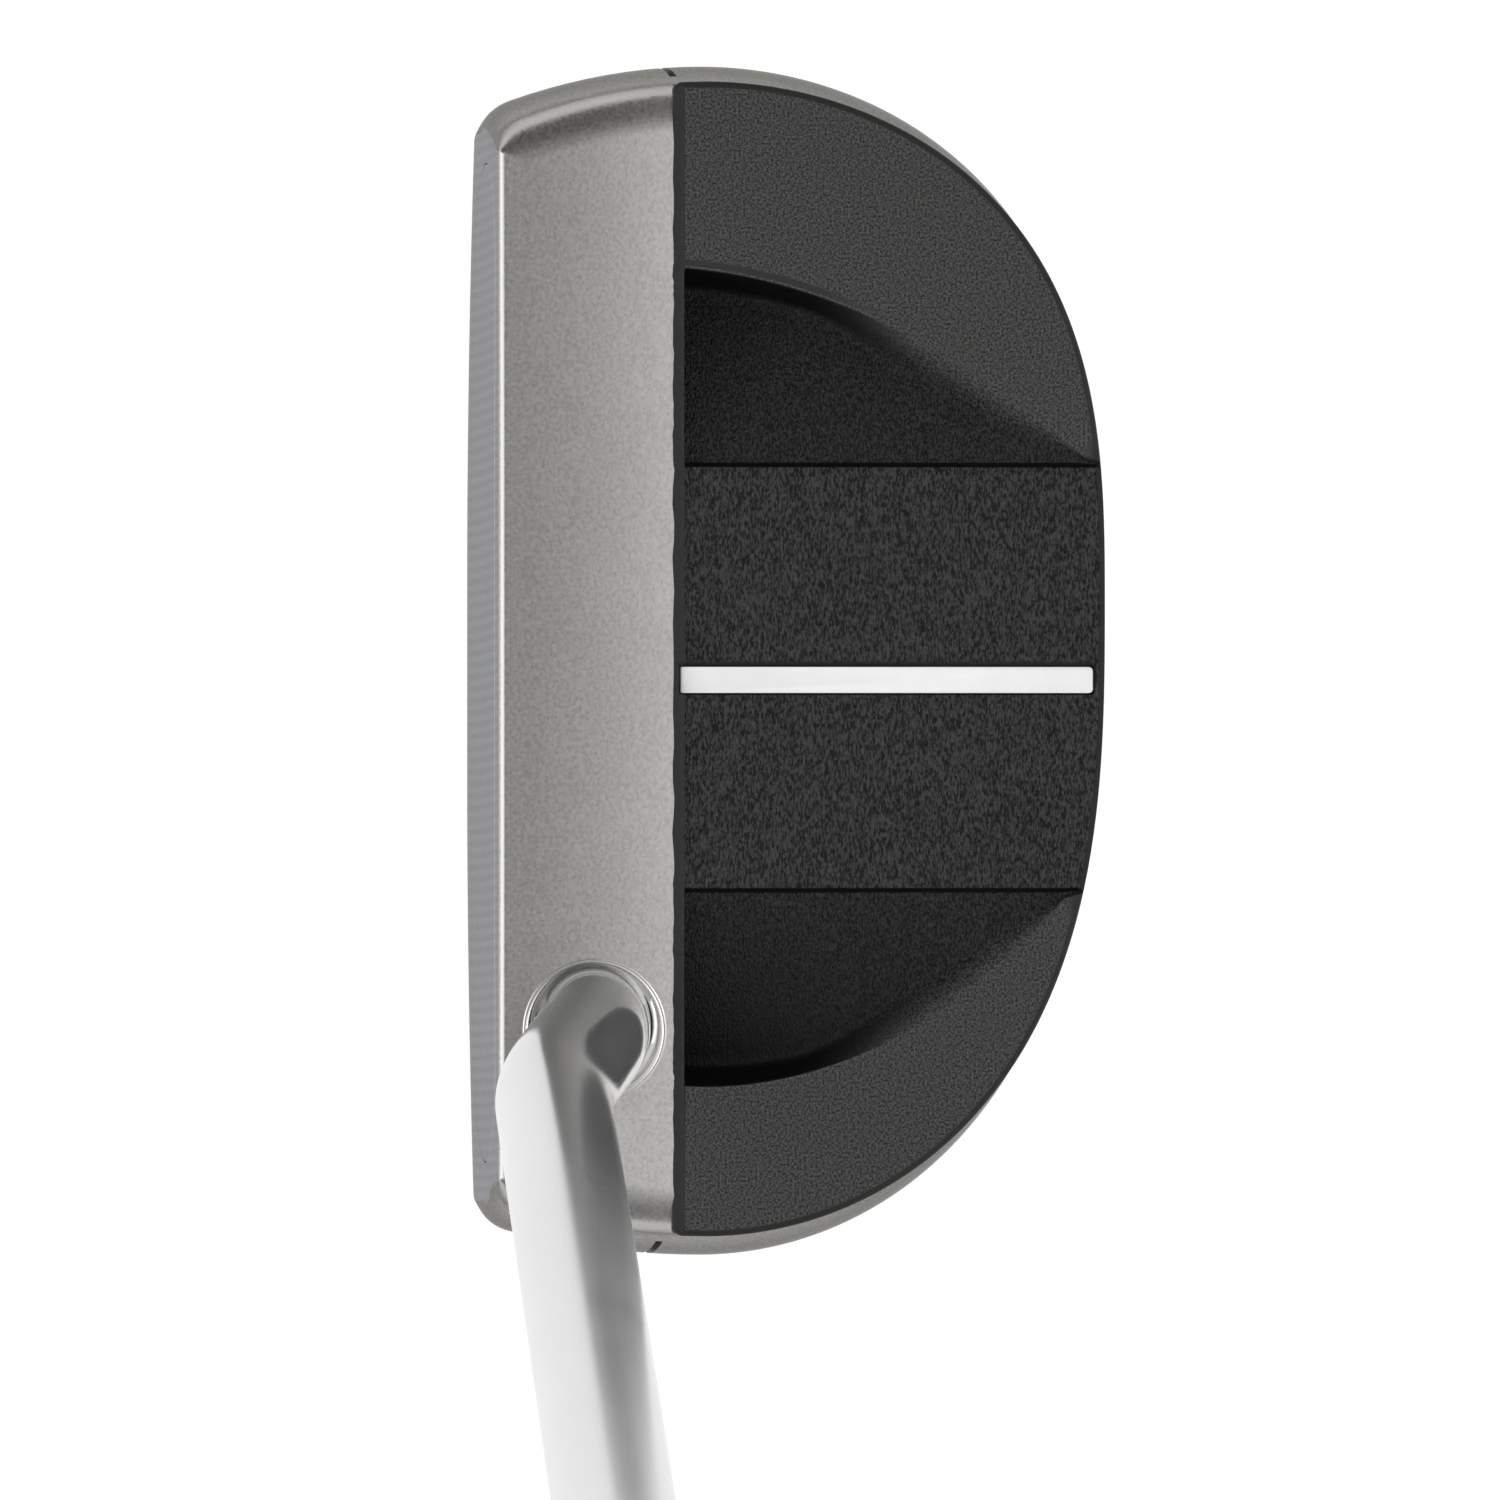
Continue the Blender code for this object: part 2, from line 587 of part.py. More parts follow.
def shaft_point(up, forward=0.0):
    """A point up the socket's axis from the crown, carried forward towards the face."""
    return SOCKET + shaft_axis() * up - Vector((0, forward, 0))


def butt_point(down=0.0):
    """A point on the straight shaft's axis, this far down from the butt end of the club."""
    return shaft_point(CLUB_LENGTH - SOCKET.z / math.cos(SHAFT_LEAN) - down, BEND_OFFSET)


def bend_end():
    """Where the second bend ends, along the axis from the crown."""
    slanted = (BEND_OFFSET - 2 * BEND_RADIUS * (1 - math.cos(BEND_ANGLE))) / math.tan(BEND_ANGLE)
    return BEND_START + 2 * BEND_RADIUS * math.sin(BEND_ANGLE) + slanted


def shaft_path(bend_steps=5):
    """(place along the axis, forward travel, slant) for each ring of the shaft, tip to butt."""
    path = [(GAP - SOCKET_DEPTH, 0.0, 0.0)]
    turns = [BEND_ANGLE * i / bend_steps for i in range(bend_steps + 1)]
    for turn in turns:
        out, rise = BEND_RADIUS * (1 - math.cos(turn)), BEND_RADIUS * math.sin(turn)
        path.append((BEND_START + rise, out, turn))
    for turn in turns[::-1]:
        out, rise = BEND_RADIUS * (1 - math.cos(turn)), BEND_RADIUS * math.sin(turn)
        path.append((bend_end() - rise, BEND_OFFSET - out, turn))
    for i in range(STEP_COUNT):
        place = FIRST_STEP + i * STEP_PITCH
        path += [(place, BEND_OFFSET, 0.0), (place + STEP_LENGTH, BEND_OFFSET, 0.0)]
    top = CLUB_LENGTH - SOCKET.z / math.cos(SHAFT_LEAN) - CAP_THICK - GAP
    return path + [(top, BEND_OFFSET, 0.0)]


def shaft_radius(up):
    """Outside radius at a place along the axis: each step adds the same growth."""
    steps = (up - FIRST_STEP) / STEP_PITCH
    if steps < 0:
        return TIP_RADIUS
    whole = min(STEP_COUNT - 1, int(steps + 1e-6))
    climb = min(1.0, (up - FIRST_STEP - whole * STEP_PITCH) / STEP_LENGTH)
    return TIP_RADIUS + STEP_GROWTH * (whole + climb)


def tube(name, rings, wall, sides):
    """A hollow tube with open ends through (centre, direction, outside radius) rings."""
    outside = [circle(c, d, r, sides) for c, d, r in rings]
    inside = [circle(c, d, r - wall, sides) for c, d, r in rings[::-1]]
    return skin(name, outside + inside, looped=True)


def make_shaft(look):
    rings = []
    for up, forward, slant in shaft_path():
        direction = shaft_axis() * math.cos(slant) - Vector((0, math.sin(slant), 0))
        rings.append((shaft_point(up, forward), direction, shaft_radius(up)))
    return finish(tube("shaft", rings, SHAFT_WALL, SHAFT_SIDES), look, 60)


def make_tip_plug(look):
    start = shaft_point(1 * MM - SOCKET_DEPTH)
    radius = TIP_RADIUS - SHAFT_WALL - GAP
    return finish(rod("shaft_tip_plug", start, start + shaft_axis() * 8 * MM, radius, 16), look)


# ---------------------------------------------------------------- grip


def grip_size(share):
    """Half width, reach of the flat thumb side and reach of the palm side, from butt (0) to mouth (1)."""
    bulge = math.exp(-(((share - 0.1) / 0.13) ** 2))
    half_width = 12.6 - 2.4 * share
    thumb = 10.9 - 1.2 * share
    palm = 13.2 + 3.6 * bulge - 3.2 * share
    return half_width * MM, thumb * MM, palm * MM


def grip_ring(share, down, inset=0.0):
    """A grip section: flat towards the thumbs (away from the golfer), round towards the palms."""
    half_width, thumb, palm = (size - inset for size in grip_size(share))
    centre, axis = butt_point(down), shaft_axis()
    forward = Vector((-axis.z, 0, axis.x))  # the way that the thumb side faces
    across = Vector((0, 1, 0))
    ring = []
    for i in range(GRIP_SIDES):
        angle = math.tau * i / GRIP_SIDES
        sine, cosine = math.sin(angle), math.cos(angle)
        power, reach = (0.34, thumb) if cosine > 0 else (0.95, palm)
        depth = math.copysign(abs(cosine) ** power, cosine) * reach
        width = math.copysign(abs(sine) ** 0.8, sine) * half_width
        ring.append(centre + forward * depth + across * width)
    return ring


def grip_shares(first, last, count):
    return [first + (last - first) * i / count for i in range(count + 1)]


def make_wrap(look):
    start, end = CAP_THICK + GAP, GRIP_LENGTH - COLLAR_LENGTH - GAP
    shares = grip_shares(start / GRIP_LENGTH, end / GRIP_LENGTH, GRIP_STATIONS)
    outside = [grip_ring(s, s * GRIP_LENGTH) for s in shares]
    inside = [grip_ring(s, s * GRIP_LENGTH, WRAP_THICK) for s in shares[::-1]]
    return finish(skin("grip_wrap", outside + inside, looped=True), look, 50)


def make_underlisting(look):
    """The firm sleeve between tape and wrap: the wrap's inside shape with a round bore."""
    start, end = CAP_THICK + GAP, GRIP_LENGTH - COLLAR_LENGTH - GAP
    shares = grip_shares(start / GRIP_LENGTH, end / GRIP_LENGTH, 7)
    rings = [grip_ring(s, s * GRIP_LENGTH, WRAP_THICK + GAP) for s in shares]
    sleeve = skin("grip_underlisting", rings)
    radius = shaft_radius(1) + TAPE_THICK + 2 * GAP
    bore = rod("bore", butt_point(-5 * MM), butt_point(GRIP_LENGTH + 5 * MM), radius, 24)
    return finish(cut(sleeve, bore), look, 50)


def make_tape(look):
    """The tape on the shaft's thickest stretch."""
    outside = shaft_radius(1) + GAP + TAPE_THICK
    rings = [(butt_point(down), shaft_axis(), outside) for down in (GRIP_LENGTH - 8 * MM, 12 * MM)]
    return finish(tube("grip_tape", rings, TAPE_THICK, 24), look, 60)


def make_end_cap(look):
    """The butt cap with a spigot into the shaft and a vent hole through both."""
    edge = 0.8 * MM
    rings = [grip_ring(0.0, 0.0, edge), grip_ring(0.0, edge), grip_ring(0.0, CAP_THICK)]
    cap = skin("grip_end_cap", rings)
    spigot = shaft_radius(1) - SHAFT_WALL - GAP
    join(cap, rod("spigot", butt_point(CAP_THICK - MM), butt_point(CAP_THICK + 8 * MM), spigot, 20))
    vent = rod("vent", butt_point(-MM), butt_point(CAP_THICK + 9 * MM), VENT_RADIUS, 12)
    return finish(cut(cap, vent), look, 50)


def make_collar(look):
    """The ring that finishes the grip's mouth and seats on the shaft."""
    share = 1 - COLLAR_LENGTH / GRIP_LENGTH
    rings = [grip_ring(share, GRIP_LENGTH - COLLAR_LENGTH), grip_ring(1.0, GRIP_LENGTH - 1.2 * MM),
             grip_ring(1.0, GRIP_LENGTH, 0.9 * MM)]
    collar = skin("grip_collar", rings)
    mouth = CLUB_LENGTH - SOCKET.z / math.cos(SHAFT_LEAN) - GRIP_LENGTH
    radius = shaft_radius(mouth + 12 * MM) + GAP
    low, high = butt_point(GRIP_LENGTH + 5 * MM), butt_point(GRIP_LENGTH - 12 * MM)
    return finish(cut(collar, rod("bore", low, high, radius, 24)), look, 50)


# ---------------------------------------------------------------- the putter


def main():
    for obj in list(bpy.data.objects):
        bpy.data.objects.remove(obj)

    satin = material("satin_steel", (0.55, 0.54, 0.52), 1.0, 0.38)
    milled = material("milled_steel", (0.58, 0.59, 0.60), 1.0, 0.30)
    black = material("black_anodised", (0.03, 0.03, 0.03), 0.2, 0.55)
    enamel = material("white_enamel", (0.85, 0.85, 0.84), 0.0, 0.35)
    film = material("bond_film", (0.35, 0.30, 0.18), 0.0, 0.6)
    fastener = material("fastener_steel", (0.35, 0.35, 0.36), 1.0, 0.35)
    weight = material("weight_steel", (0.42, 0.42, 0.43), 1.0, 0.30)
    chrome = material("chrome", (0.80, 0.80, 0.81), 1.0, 0.06)
    plug = material("plug_rubber", (0.05, 0.05, 0.05), 0.0, 0.8)
    tape = material("tape", (0.75, 0.73, 0.66), 0.0, 0.8)
    sleeve = material("underlisting", (0.12, 0.12, 0.12), 0.0, 0.85)
    wrap = material("grip_skin", (0.02, 0.02, 0.02), 0.0, 0.7)
    cap = material("cap_rubber", (0.03, 0.03, 0.03), 0.0, 0.55)

    make_body(satin)
    make_insert(milled)
    make_film(film)
    make_deck(black)
    make_sightline(enamel)
    make_sole_plate(milled)
    for number, x in enumerate(PLATE_SCREWS_X, 1):
        seat = Vector((x, PLATE_Y, camber(x) + 0.2 * MM))
        make_screw(f"sole_plate_screw_{number}", seat, 1.9 * MM, 0.6 * MM, 1.0 * MM, 6.2 * MM, fastener)
    for number, place in enumerate(DECK_SCREWS, 1):
        seat = Vector((*place, camber(place.x) + 0.8 * MM))
        length = DECK_SCREW_TOP - seat.z
        make_screw(f"deck_screw_{number}", seat, 2.8 * MM, 1.7 * MM, 1.5 * MM, length, fastener)
    for name, place in WEIGHTS.items():
        make_weight(name, place, weight)
    make_shaft(chrome)
    make_tip_plug(plug)
    make_tape(tape)
    make_underlisting(sleeve)
    make_wrap(wrap)
    make_end_cap(cap)
    make_collar(cap)


main()
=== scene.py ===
"""The mallet putter's looks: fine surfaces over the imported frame, materials, studio light and camera."""

import math

import bmesh
import bpy
from mathutils import Matrix, Vector


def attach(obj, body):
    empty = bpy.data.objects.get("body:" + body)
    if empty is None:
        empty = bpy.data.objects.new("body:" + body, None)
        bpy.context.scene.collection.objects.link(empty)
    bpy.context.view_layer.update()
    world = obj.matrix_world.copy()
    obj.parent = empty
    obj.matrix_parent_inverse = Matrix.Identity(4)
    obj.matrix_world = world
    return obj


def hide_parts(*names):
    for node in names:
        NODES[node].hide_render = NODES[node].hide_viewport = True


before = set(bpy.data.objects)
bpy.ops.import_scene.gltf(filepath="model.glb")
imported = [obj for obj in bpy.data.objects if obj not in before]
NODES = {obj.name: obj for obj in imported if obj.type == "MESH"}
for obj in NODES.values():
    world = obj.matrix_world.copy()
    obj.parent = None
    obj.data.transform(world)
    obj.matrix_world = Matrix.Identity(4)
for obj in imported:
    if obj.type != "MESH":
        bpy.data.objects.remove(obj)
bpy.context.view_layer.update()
MM = 0.001

# Head, as in the frame
HEIGHT = 25.0 * MM
DECK_SPLIT, SHELF, TRAY_WALL = 20.0 * MM, 15.2 * MM, 2.2 * MM
FACE = -13.0 * MM
LOFT = math.radians(4.0)
WIDEST = Vector((-6.8, 4.7)) * MM
SIDE_POWER, REAR_POWER = 2.9, 1.98  # squareness of the outline across and towards the rear
CROWN = (-51.25 * MM, 47.65 * MM, 38.95 * MM)  # toe, heel, rear
SKIRT = (-53.0 * MM, 49.6 * MM, 39.3 * MM)
TOE_TAPER, HEEL_TAPER = 12.4, 8.7
CORNER = 2.4 * MM
DECK_FRONT = 1.9 * MM
FLAT_HALF_WIDTH, CAMBER_RADIUS, CROWN_RADIUS = 8.0 * MM, 140.0 * MM, 110.0 * MM
FIT = 0.06 * MM  # gap round a fitted piece
SETTLE_X, SETTLE_Y = 2.5 * MM, 1.2 * MM  # spacing of the edges added before the sole and crown are curved

# Rounds of the body, each (how far in, how high)
SOLE_ROUND, SHOULDER_ROUND = (5.0 * MM, 7.0 * MM), (4.4 * MM, 5.0 * MM)  # round the ends and the rear
SOLE_EDGE, FACE_EDGE = (1.3 * MM, 2.0 * MM), (0.65 * MM, 0.7 * MM)  # along the face

# Underside and skirt
PLATE_TOE, PLATE_HEEL, PLATE_HALF_DEPTH = -43.5 * MM, 19.0 * MM, 7.2 * MM
PLATE_Y, PLATE_POCKET = -2.4 * MM, 1.9 * MM
WEIGHTS = [Vector(p) * MM for p in ((-36.0, 20.0), (34.0, 20.0))]
DECK_SCREWS = [Vector(p) * MM for p in ((-43.0, 6.2), (38.5, 6.0), (-11.5, 28.0), (11.5, 28.0))]
WEIGHT_PORT, SCREW_PORT = (6.06 * MM, 6.8 * MM), (2.95 * MM, 2.6 * MM)  # radius, depth
SKIRT_SLOTS = ((-1, 1.6 * MM), (1, 0.4 * MM))  # end of the head (-1 toe, 1 heel), slot's place in y

# Deck
BAND_TOE, BAND_HEEL = -18.2 * MM, 17.8 * MM
BAND_DROP = 0.25 * MM
SCOOP_DEPTH, SCOOP_STEP = 6.4 * MM, 0.8 * MM
DECK_EDGE = 0.45 * MM
TOE_ARC = [Vector(p) * MM for p in ((-35.3, 2.45), (-34.4, 14.5), (-28.3, 26.6), (-18.9, 37.4))]
HEEL_ARC = [Vector(p) * MM for p in ((34.8, 2.45), (35.6, 13.5), (29.6, 27.0), (18.4, 35.6))]
LINE_HALF_WIDTH = 1.115 * MM
LINE_START, LINE_END, LINE_CORNER = 2.45 * MM, 1.0 * MM, 0.35 * MM
LIP, LIP_CORNER = 0.9 * MM, 0.7 * MM  # smooth strip along the deck's front and its corners' radius
PLUG_SCALE = (0.9, 0.875, 0.4 * MM)  # the deck's plug against its top: width, depth, set back
PLUG_END = 15.3 * MM

# Face
INSERT_THICK = 1.6 * MM
INSERT = (-44.5 * MM, 41.5 * MM, 4.6 * MM, 21.8 * MM)  # toe, heel, bottom, top
MILL_PITCH = 1.03 * MM

# Shaft and grip
LEAN = math.radians(20.0)
AXIS = Vector((math.sin(LEAN), 0, math.cos(LEAN)))
TIP_RADIUS = 4.955 * MM
SHAFT_WALL = 0.5 * MM
SOCKET = Vector((30.0, -4.9, 25.0)) * MM
SOCKET_DEPTH = 18.6 * MM
LIP_REACH = 6.3 * MM  # outer edge of the counterbore's polished lip
BEND_START = -3.0 * MM
BEND_ANGLE = math.radians(18.0)
BEND_RADIUS = 24.0 * MM
BEND_OFFSET = 4.5 * MM
CLUB_LENGTH = 889.0 * MM
FIRST_STEP, STEP_PITCH, STEP_COUNT, STEP_GROWTH = 330.0 * MM, 38.0 * MM, 7, 0.342 * MM
STEP_LENGTH = 2.5 * MM
GRIP_LENGTH = 267.0 * MM
CAP_THICK, COLLAR_LENGTH, WRAP_THICK = 4.0 * MM, 5.0 * MM, 1.6 * MM
VENT_RADIUS = 1.6 * MM

# Camera
CAMERA_TILT = math.radians(4.0)
CAMERA_AIM = Vector((6.0, 8.4, 25.0)) * MM
CAMERA_DISTANCE, CAMERA_LENS = 1.43, 400.9


# ---------------------------------------------------------------- mesh helpers


def from_bmesh(name, bm):
    bmesh.ops.recalc_face_normals(bm, faces=bm.faces)
    mesh = bpy.data.meshes.new(name)
    bm.to_mesh(mesh)
    bm.free()
    made = bpy.data.objects.new(name, mesh)
    bpy.context.scene.collection.objects.link(made)
    return made


def skin(name, rings, looped=False):
    bm = bmesh.new()
    loops = [[bm.verts.new(point) for point in ring] for ring in rings]
    pairs = list(zip(loops, loops[1:]))
    if looped:
        pairs.append((loops[-1], loops[0]))
    else:
        bm.faces.new(loops[0])
        bm.faces.new(loops[-1])
    for low, high in pairs:
        for i in range(len(low)):
            j = (i + 1) % len(low)
            bm.faces.new((low[i], low[j], high[j], high[i]))
    return from_bmesh(name, bm)


def circle(centre, axis, radius, sides):
    across = Vector((-1, 0, 0)) - axis * -axis.x
    across = across.normalized() if across.length > 1e-6 else Vector((0, 0, 1))
    along_ring = axis.cross(across)
    angles = [math.tau * i / sides for i in range(sides)]
    return [centre + radius * (across * math.cos(a) + along_ring * math.sin(a)) for a in angles]


def rod(name, start, end, radius, sides=64):
    axis = (end - start).normalized()
    return skin(name, [circle(start, axis, radius, sides), circle(end, axis, radius, sides)])


def prism(name, outline_points, bottom, top):
    return skin(name, [[(p[0], p[1], z) for p in outline_points] for z in (bottom, top)])


def stadium(toe, heel, half_depth, centre_y=0.0, sides=24):
    points = []
    for end, turn in ((heel - half_depth, -math.pi / 2), (toe + half_depth, math.pi / 2)):
        for i in range(sides + 1):
            angle = turn + math.pi * i / sides
            points.append((end + half_depth * math.cos(angle), centre_y + half_depth * math.sin(angle)))
    return points


def combine(target, other, operation="DIFFERENCE"):
    modifier = target.modifiers.new("boolean", "BOOLEAN")
    modifier.operation = operation
    modifier.object = other
    modifier.solver = "EXACT"
    graph = bpy.context.evaluated_depsgraph_get()
    mesh = bpy.data.meshes.new_from_object(target.evaluated_get(graph))
    target.modifiers.clear()
    target.data = mesh
    bpy.data.objects.remove(other)
    return target


def smooth(obj, degrees=32):
    obj.data.shade_smooth()
    obj.data.set_sharp_from_angle(angle=math.radians(degrees))
    return obj


def show(obj, look, slot, *nodes):
    """Gives a piece its material, ties it to the putter's one body and lets it stand for CAD nodes."""
    if look is not None:
        obj.data.materials.clear()
        obj.data.materials.append(look)
    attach(obj, "root")
    if nodes:
        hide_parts(*nodes)
    return obj


# ---------------------------------------------------------------- shape of the head


def camber(x):
    return max(0.0, abs(x) - FLAT_HALF_WIDTH) ** 2 / (2 * CAMBER_RADIUS)


def settled(point):
    """Cambers the sole and lets the crown fall away towards the face."""
    x, y, z = point
    level = z / HEIGHT
    fall = max(0.0, DECK_FRONT - y) ** 2 / (2 * CROWN_RADIUS)
    rise = camber(x) * (1 - level) - fall * max(0.0, level) ** 2
    return Vector((x, y + rise * math.tan(LOFT), z + rise))


def settle(obj, step_y=SETTLE_Y):
    """Adds edges across a piece and then curves it with the sole and crown."""
    bm = bmesh.new()
    bm.from_mesh(obj.data)
    planes = [(i * SETTLE_X, Vector((1, 0, 0))) for i in range(-20, 19)]
    if step_y:
        planes += [(DECK_FRONT - i * step_y, Vector((0, 1, 0))) for i in range(11)]
    for place, normal in planes:
        geometry = bm.verts[:] + bm.edges[:] + bm.faces[:]
        bmesh.ops.bisect_plane(bm, geom=geometry, dist=1e-6, plane_co=normal * place, plane_no=normal)
    for vertex in bm.verts:
        vertex.co = settled(vertex.co)
    bm.to_mesh(obj.data)
    bm.free()
    return obj


def bezier(points, t):
    while len(points) > 1:
        points = [a.lerp(b, t) for a, b in zip(points, points[1:])]
    return points[0]


def outline(toe, heel, rear, rear_steps=150, side_steps=10, face_steps=60):
    corners = []
    for side, end, taper in ((-1, toe, TOE_TAPER), (1, heel, HEEL_TAPER)):
        stretch = []
        start = FACE + CORNER
        for i in range(side_steps):
            y = start + (WIDEST.y - start) * i / side_steps
            stretch.append(Vector((end - side * taper * (WIDEST.y - y) ** 2, y)))
        slope = 2 * taper * (WIDEST.y - start)
        tip = Vector((stretch[0].x - side * slope * CORNER, FACE))
        turn = (tip - Vector((side * CORNER, 0)), tip, stretch[0])
        corners.append([bezier(turn, i / 10) for i in range(10)] + stretch)
    rear_edge = []
    for i in range(rear_steps + 1):
        angle = math.pi * (1 - i / rear_steps)
        reach = (WIDEST.x - toe) if angle > math.pi / 2 else (heel - WIDEST.x)
        x = WIDEST.x + math.copysign(abs(math.cos(angle)) ** (2 / SIDE_POWER) * reach, math.cos(angle))
        rear_edge.append(Vector((x, WIDEST.y + (rear - WIDEST.y) * math.sin(angle) ** (2 / REAR_POWER))))
    toe_end, heel_end = corners[0][0].x, corners[1][0].x
    front = [Vector((heel_end + (toe_end - heel_end) * i / face_steps, FACE)) for i in range(1, face_steps)]
    return corners[0] + rear_edge + corners[1][::-1] + front


def drawn_in(points, side_inset, front_inset):
    moved = []
    for i, point in enumerate(points):
        tangent = points[(i + 1) % len(points)] - points[i - 1]
        outward = Vector((-tangent.y, tangent.x)).normalized()
        amount_y = side_inset if point.y > WIDEST.y else front_inset
        moved.append(Vector((point.x - outward.x * side_inset, point.y - outward.y * amount_y)))
    return moved


def quarter(share):
    """How far a quarter round has curved in, 0 to 1, at this share of its height."""
    return 1 - math.sqrt(max(0.0, 1 - share * share))


def rounding(z, low, high):
    """Inset at height z from the rounds at the sole and at the crown."""
    below = low[0] * quarter(max(0.0, 1 - z / low[1]))
    above = high[0] * quarter(max(0.0, (z - HEIGHT + high[1]) / high[1]))
    return below + above


def head_ring(z):
    flare_end = SOLE_ROUND[1]
    share = min(1.0, max(0.0, (z - flare_end) / (DECK_SPLIT - flare_end)) ** 2)
    ends = [low + (high - low) * share for low, high in zip(SKIRT, CROWN)]
    side = rounding(z, SOLE_ROUND, SHOULDER_ROUND)
    front = rounding(z, SOLE_EDGE, FACE_EDGE)
    ring = []
    for point in drawn_in(outline(*ends), side, front):
        forward = min(1.0, max(0.0, (WIDEST.y - point.y) / (WIDEST.y - FACE)))
        ring.append((point.x, point.y - (HEIGHT - z) * math.tan(LOFT) * forward, z))
    return ring


def head_levels():
    """Heights of the body's rings in millimetres, closer together in its rounds."""
    top = HEIGHT / MM
    sole, shoulder, edge = (height / MM for _, height in (SOLE_ROUND, SHOULDER_ROUND, FACE_EDGE))
    low = [sole * (1 - math.cos(math.pi / 2 * i / 9)) for i in range(1, 10)]
    middle = [sole + (top - shoulder - sole) * i / 10 for i in range(1, 11)]
    high = [top - shoulder + shoulder * math.sin(math.pi / 2 * i / 14) for i in range(1, 15)]
    fine = [top - edge + edge * math.sin(math.pi / 2 * i / 7) for i in range(7)]
    return sorted(set(round(z, 3) for z in [0.0] + low + middle + high + fine))


def on_face(x, z, depth):
    return Vector((x, FACE - (HEIGHT - z) * math.tan(LOFT) + depth / math.cos(LOFT), z))


def insert_block(name, margin, layers):
    """The face insert's outline through (depth behind the face, extra inset) layers."""
    toe, heel, bottom, top = INSERT
    rings = []
    for depth, inset in layers:
        grown = margin - inset
        half = (top - bottom) / 2 + grown
        flat = stadium(toe - grown, heel + grown, half, (top + bottom) / 2)
        rings.append([on_face(x, z, depth) for x, z in flat])
    return skin(name, rings)


def shaft_point(up, forward=0.0):
    return SOCKET + AXIS * up - Vector((0, forward, 0))


def recess_cutter():
    """The shaft's counterbore: a small step above the bore and a soft lip that follows the falling crown.

    Its profile is in millimetres: height from the crown and radius."""
    profile = [(-6.0, 5.02), (-1.9, 5.02), (-1.1, 5.04), (-1.02, 5.12)]
    profile += [(-0.98, 5.36), (-0.9, 5.46), (-0.75, 5.5)]
    for i in range(9):
        angle = math.pi / 2 * i / 8
        profile.append((-0.62 + 0.55 * math.sin(angle), 5.52 + 0.5 * (1 - math.cos(angle))))
    profile += [(0.03, 6.2), (1.4, 8.9)]
    rings = []
    for height, radius in profile:
        centre = SOCKET + AXIS * (height * MM / math.cos(LEAN))
        ring = circle(centre, Vector((0, 0, 1)), radius * MM, 96)
        follow = blend(0, 1, (height + 1.9) / 0.8)
        for point in ring:
            point.z -= follow * max(0.0, DECK_FRONT - point.y) ** 2 / (2 * CROWN_RADIUS)
        rings.append(ring)
    return skin("recess", rings)


def skirt_slot(side, y):
    """A narrow upright groove in one end of the skirt, its top a little further to the rear."""
    end = SKIRT[0] if side < 0 else SKIRT[1]
    half = 0.3 * MM
    low, high = (y - 1.0 * MM, 5 * MM), (y + 0.6 * MM, 19.2 * MM)
    rings = []
    for x in (end + side * 2 * MM, end - side * 3.2 * MM):
        rings.append([(x, low[0] - half, low[1]), (x, low[0] + half, low[1]),
                      (x, high[0] + half, high[1]), (x, high[0] - half, high[1])])
    return skin("slot", rings)


def build_body():
    body = skin("fine_head_body", [head_ring(z * MM) for z in head_levels()])
    combine(body, insert_block("pocket", FIT, [(-4 * MM, 0), (INSERT_THICK + 0.1 * MM, 0)]))
    room = [(-0.07, DECK_FRONT), (0.07, DECK_FRONT), (0.07, 0.06), (-0.07, 0.06)]
    combine(body, prism("room", room, DECK_SPLIT, 2 * HEIGHT))
    inner = drawn_in(outline(*CROWN), TRAY_WALL, TRAY_WALL)
    tray = [point for point in inner if point.y > DECK_FRONT + 0.5 * MM]
    tray = [Vector((tray[0].x, DECK_FRONT))] + tray + [Vector((tray[-1].x, DECK_FRONT))]
    combine(body, prism("tray", tray, SHELF, 2 * HEIGHT))
    plate = stadium(PLATE_TOE - FIT, PLATE_HEEL + FIT, PLATE_HALF_DEPTH + FIT, PLATE_Y)
    combine(body, prism("plate", plate, -5 * MM, PLATE_POCKET))
    settle(body)
    for places, (radius, depth) in ((WEIGHTS, WEIGHT_PORT), (DECK_SCREWS, SCREW_PORT)):
        for x, y in places:
            top = Vector((x, y, camber(x) + depth))
            combine(body, rod("port", Vector((x, y, -2 * MM)), top, radius, 48))
    combine(body, recess_cutter())
    for side, y in SKIRT_SLOTS:
        combine(body, skirt_slot(side, y))
    smooth(body)
    body.modifiers.new("even_shading", "WEIGHTED_NORMAL").keep_sharp = True
    return body


def sort_polygons(obj):
    """Slot 1 for the lofted face and slot 2 for the counterbore's polished lip, with sharp edges between."""
    front = Vector((0, -math.cos(LOFT), math.sin(LOFT)))
    for polygon in obj.data.polygons:
        if polygon.normal.dot(front) > 0.985 and polygon.center.y < FACE + 0.4 * MM:
            polygon.material_index = 1
        elif polygon.center.z > DECK_SPLIT and polygon.normal.z < 0.985:
            if (polygon.center - SOCKET).xy.length < LIP_REACH:
                polygon.material_index = 2
    bm = bmesh.new()
    bm.from_mesh(obj.data)
    for edge in bm.edges:
        if len({face.material_index for face in edge.link_faces}) > 1:
            edge.smooth = False
    bm.to_mesh(obj.data)
    bm.free()


def build_insert():
    edge = 0.05 * MM
    layers = [(0.0, edge), (edge, 0.0), (INSERT_THICK, 0.0)]
    return smooth(settle(insert_block("fine_face_insert", 0.0, layers), step_y=0))


# ---------------------------------------------------------------- deck


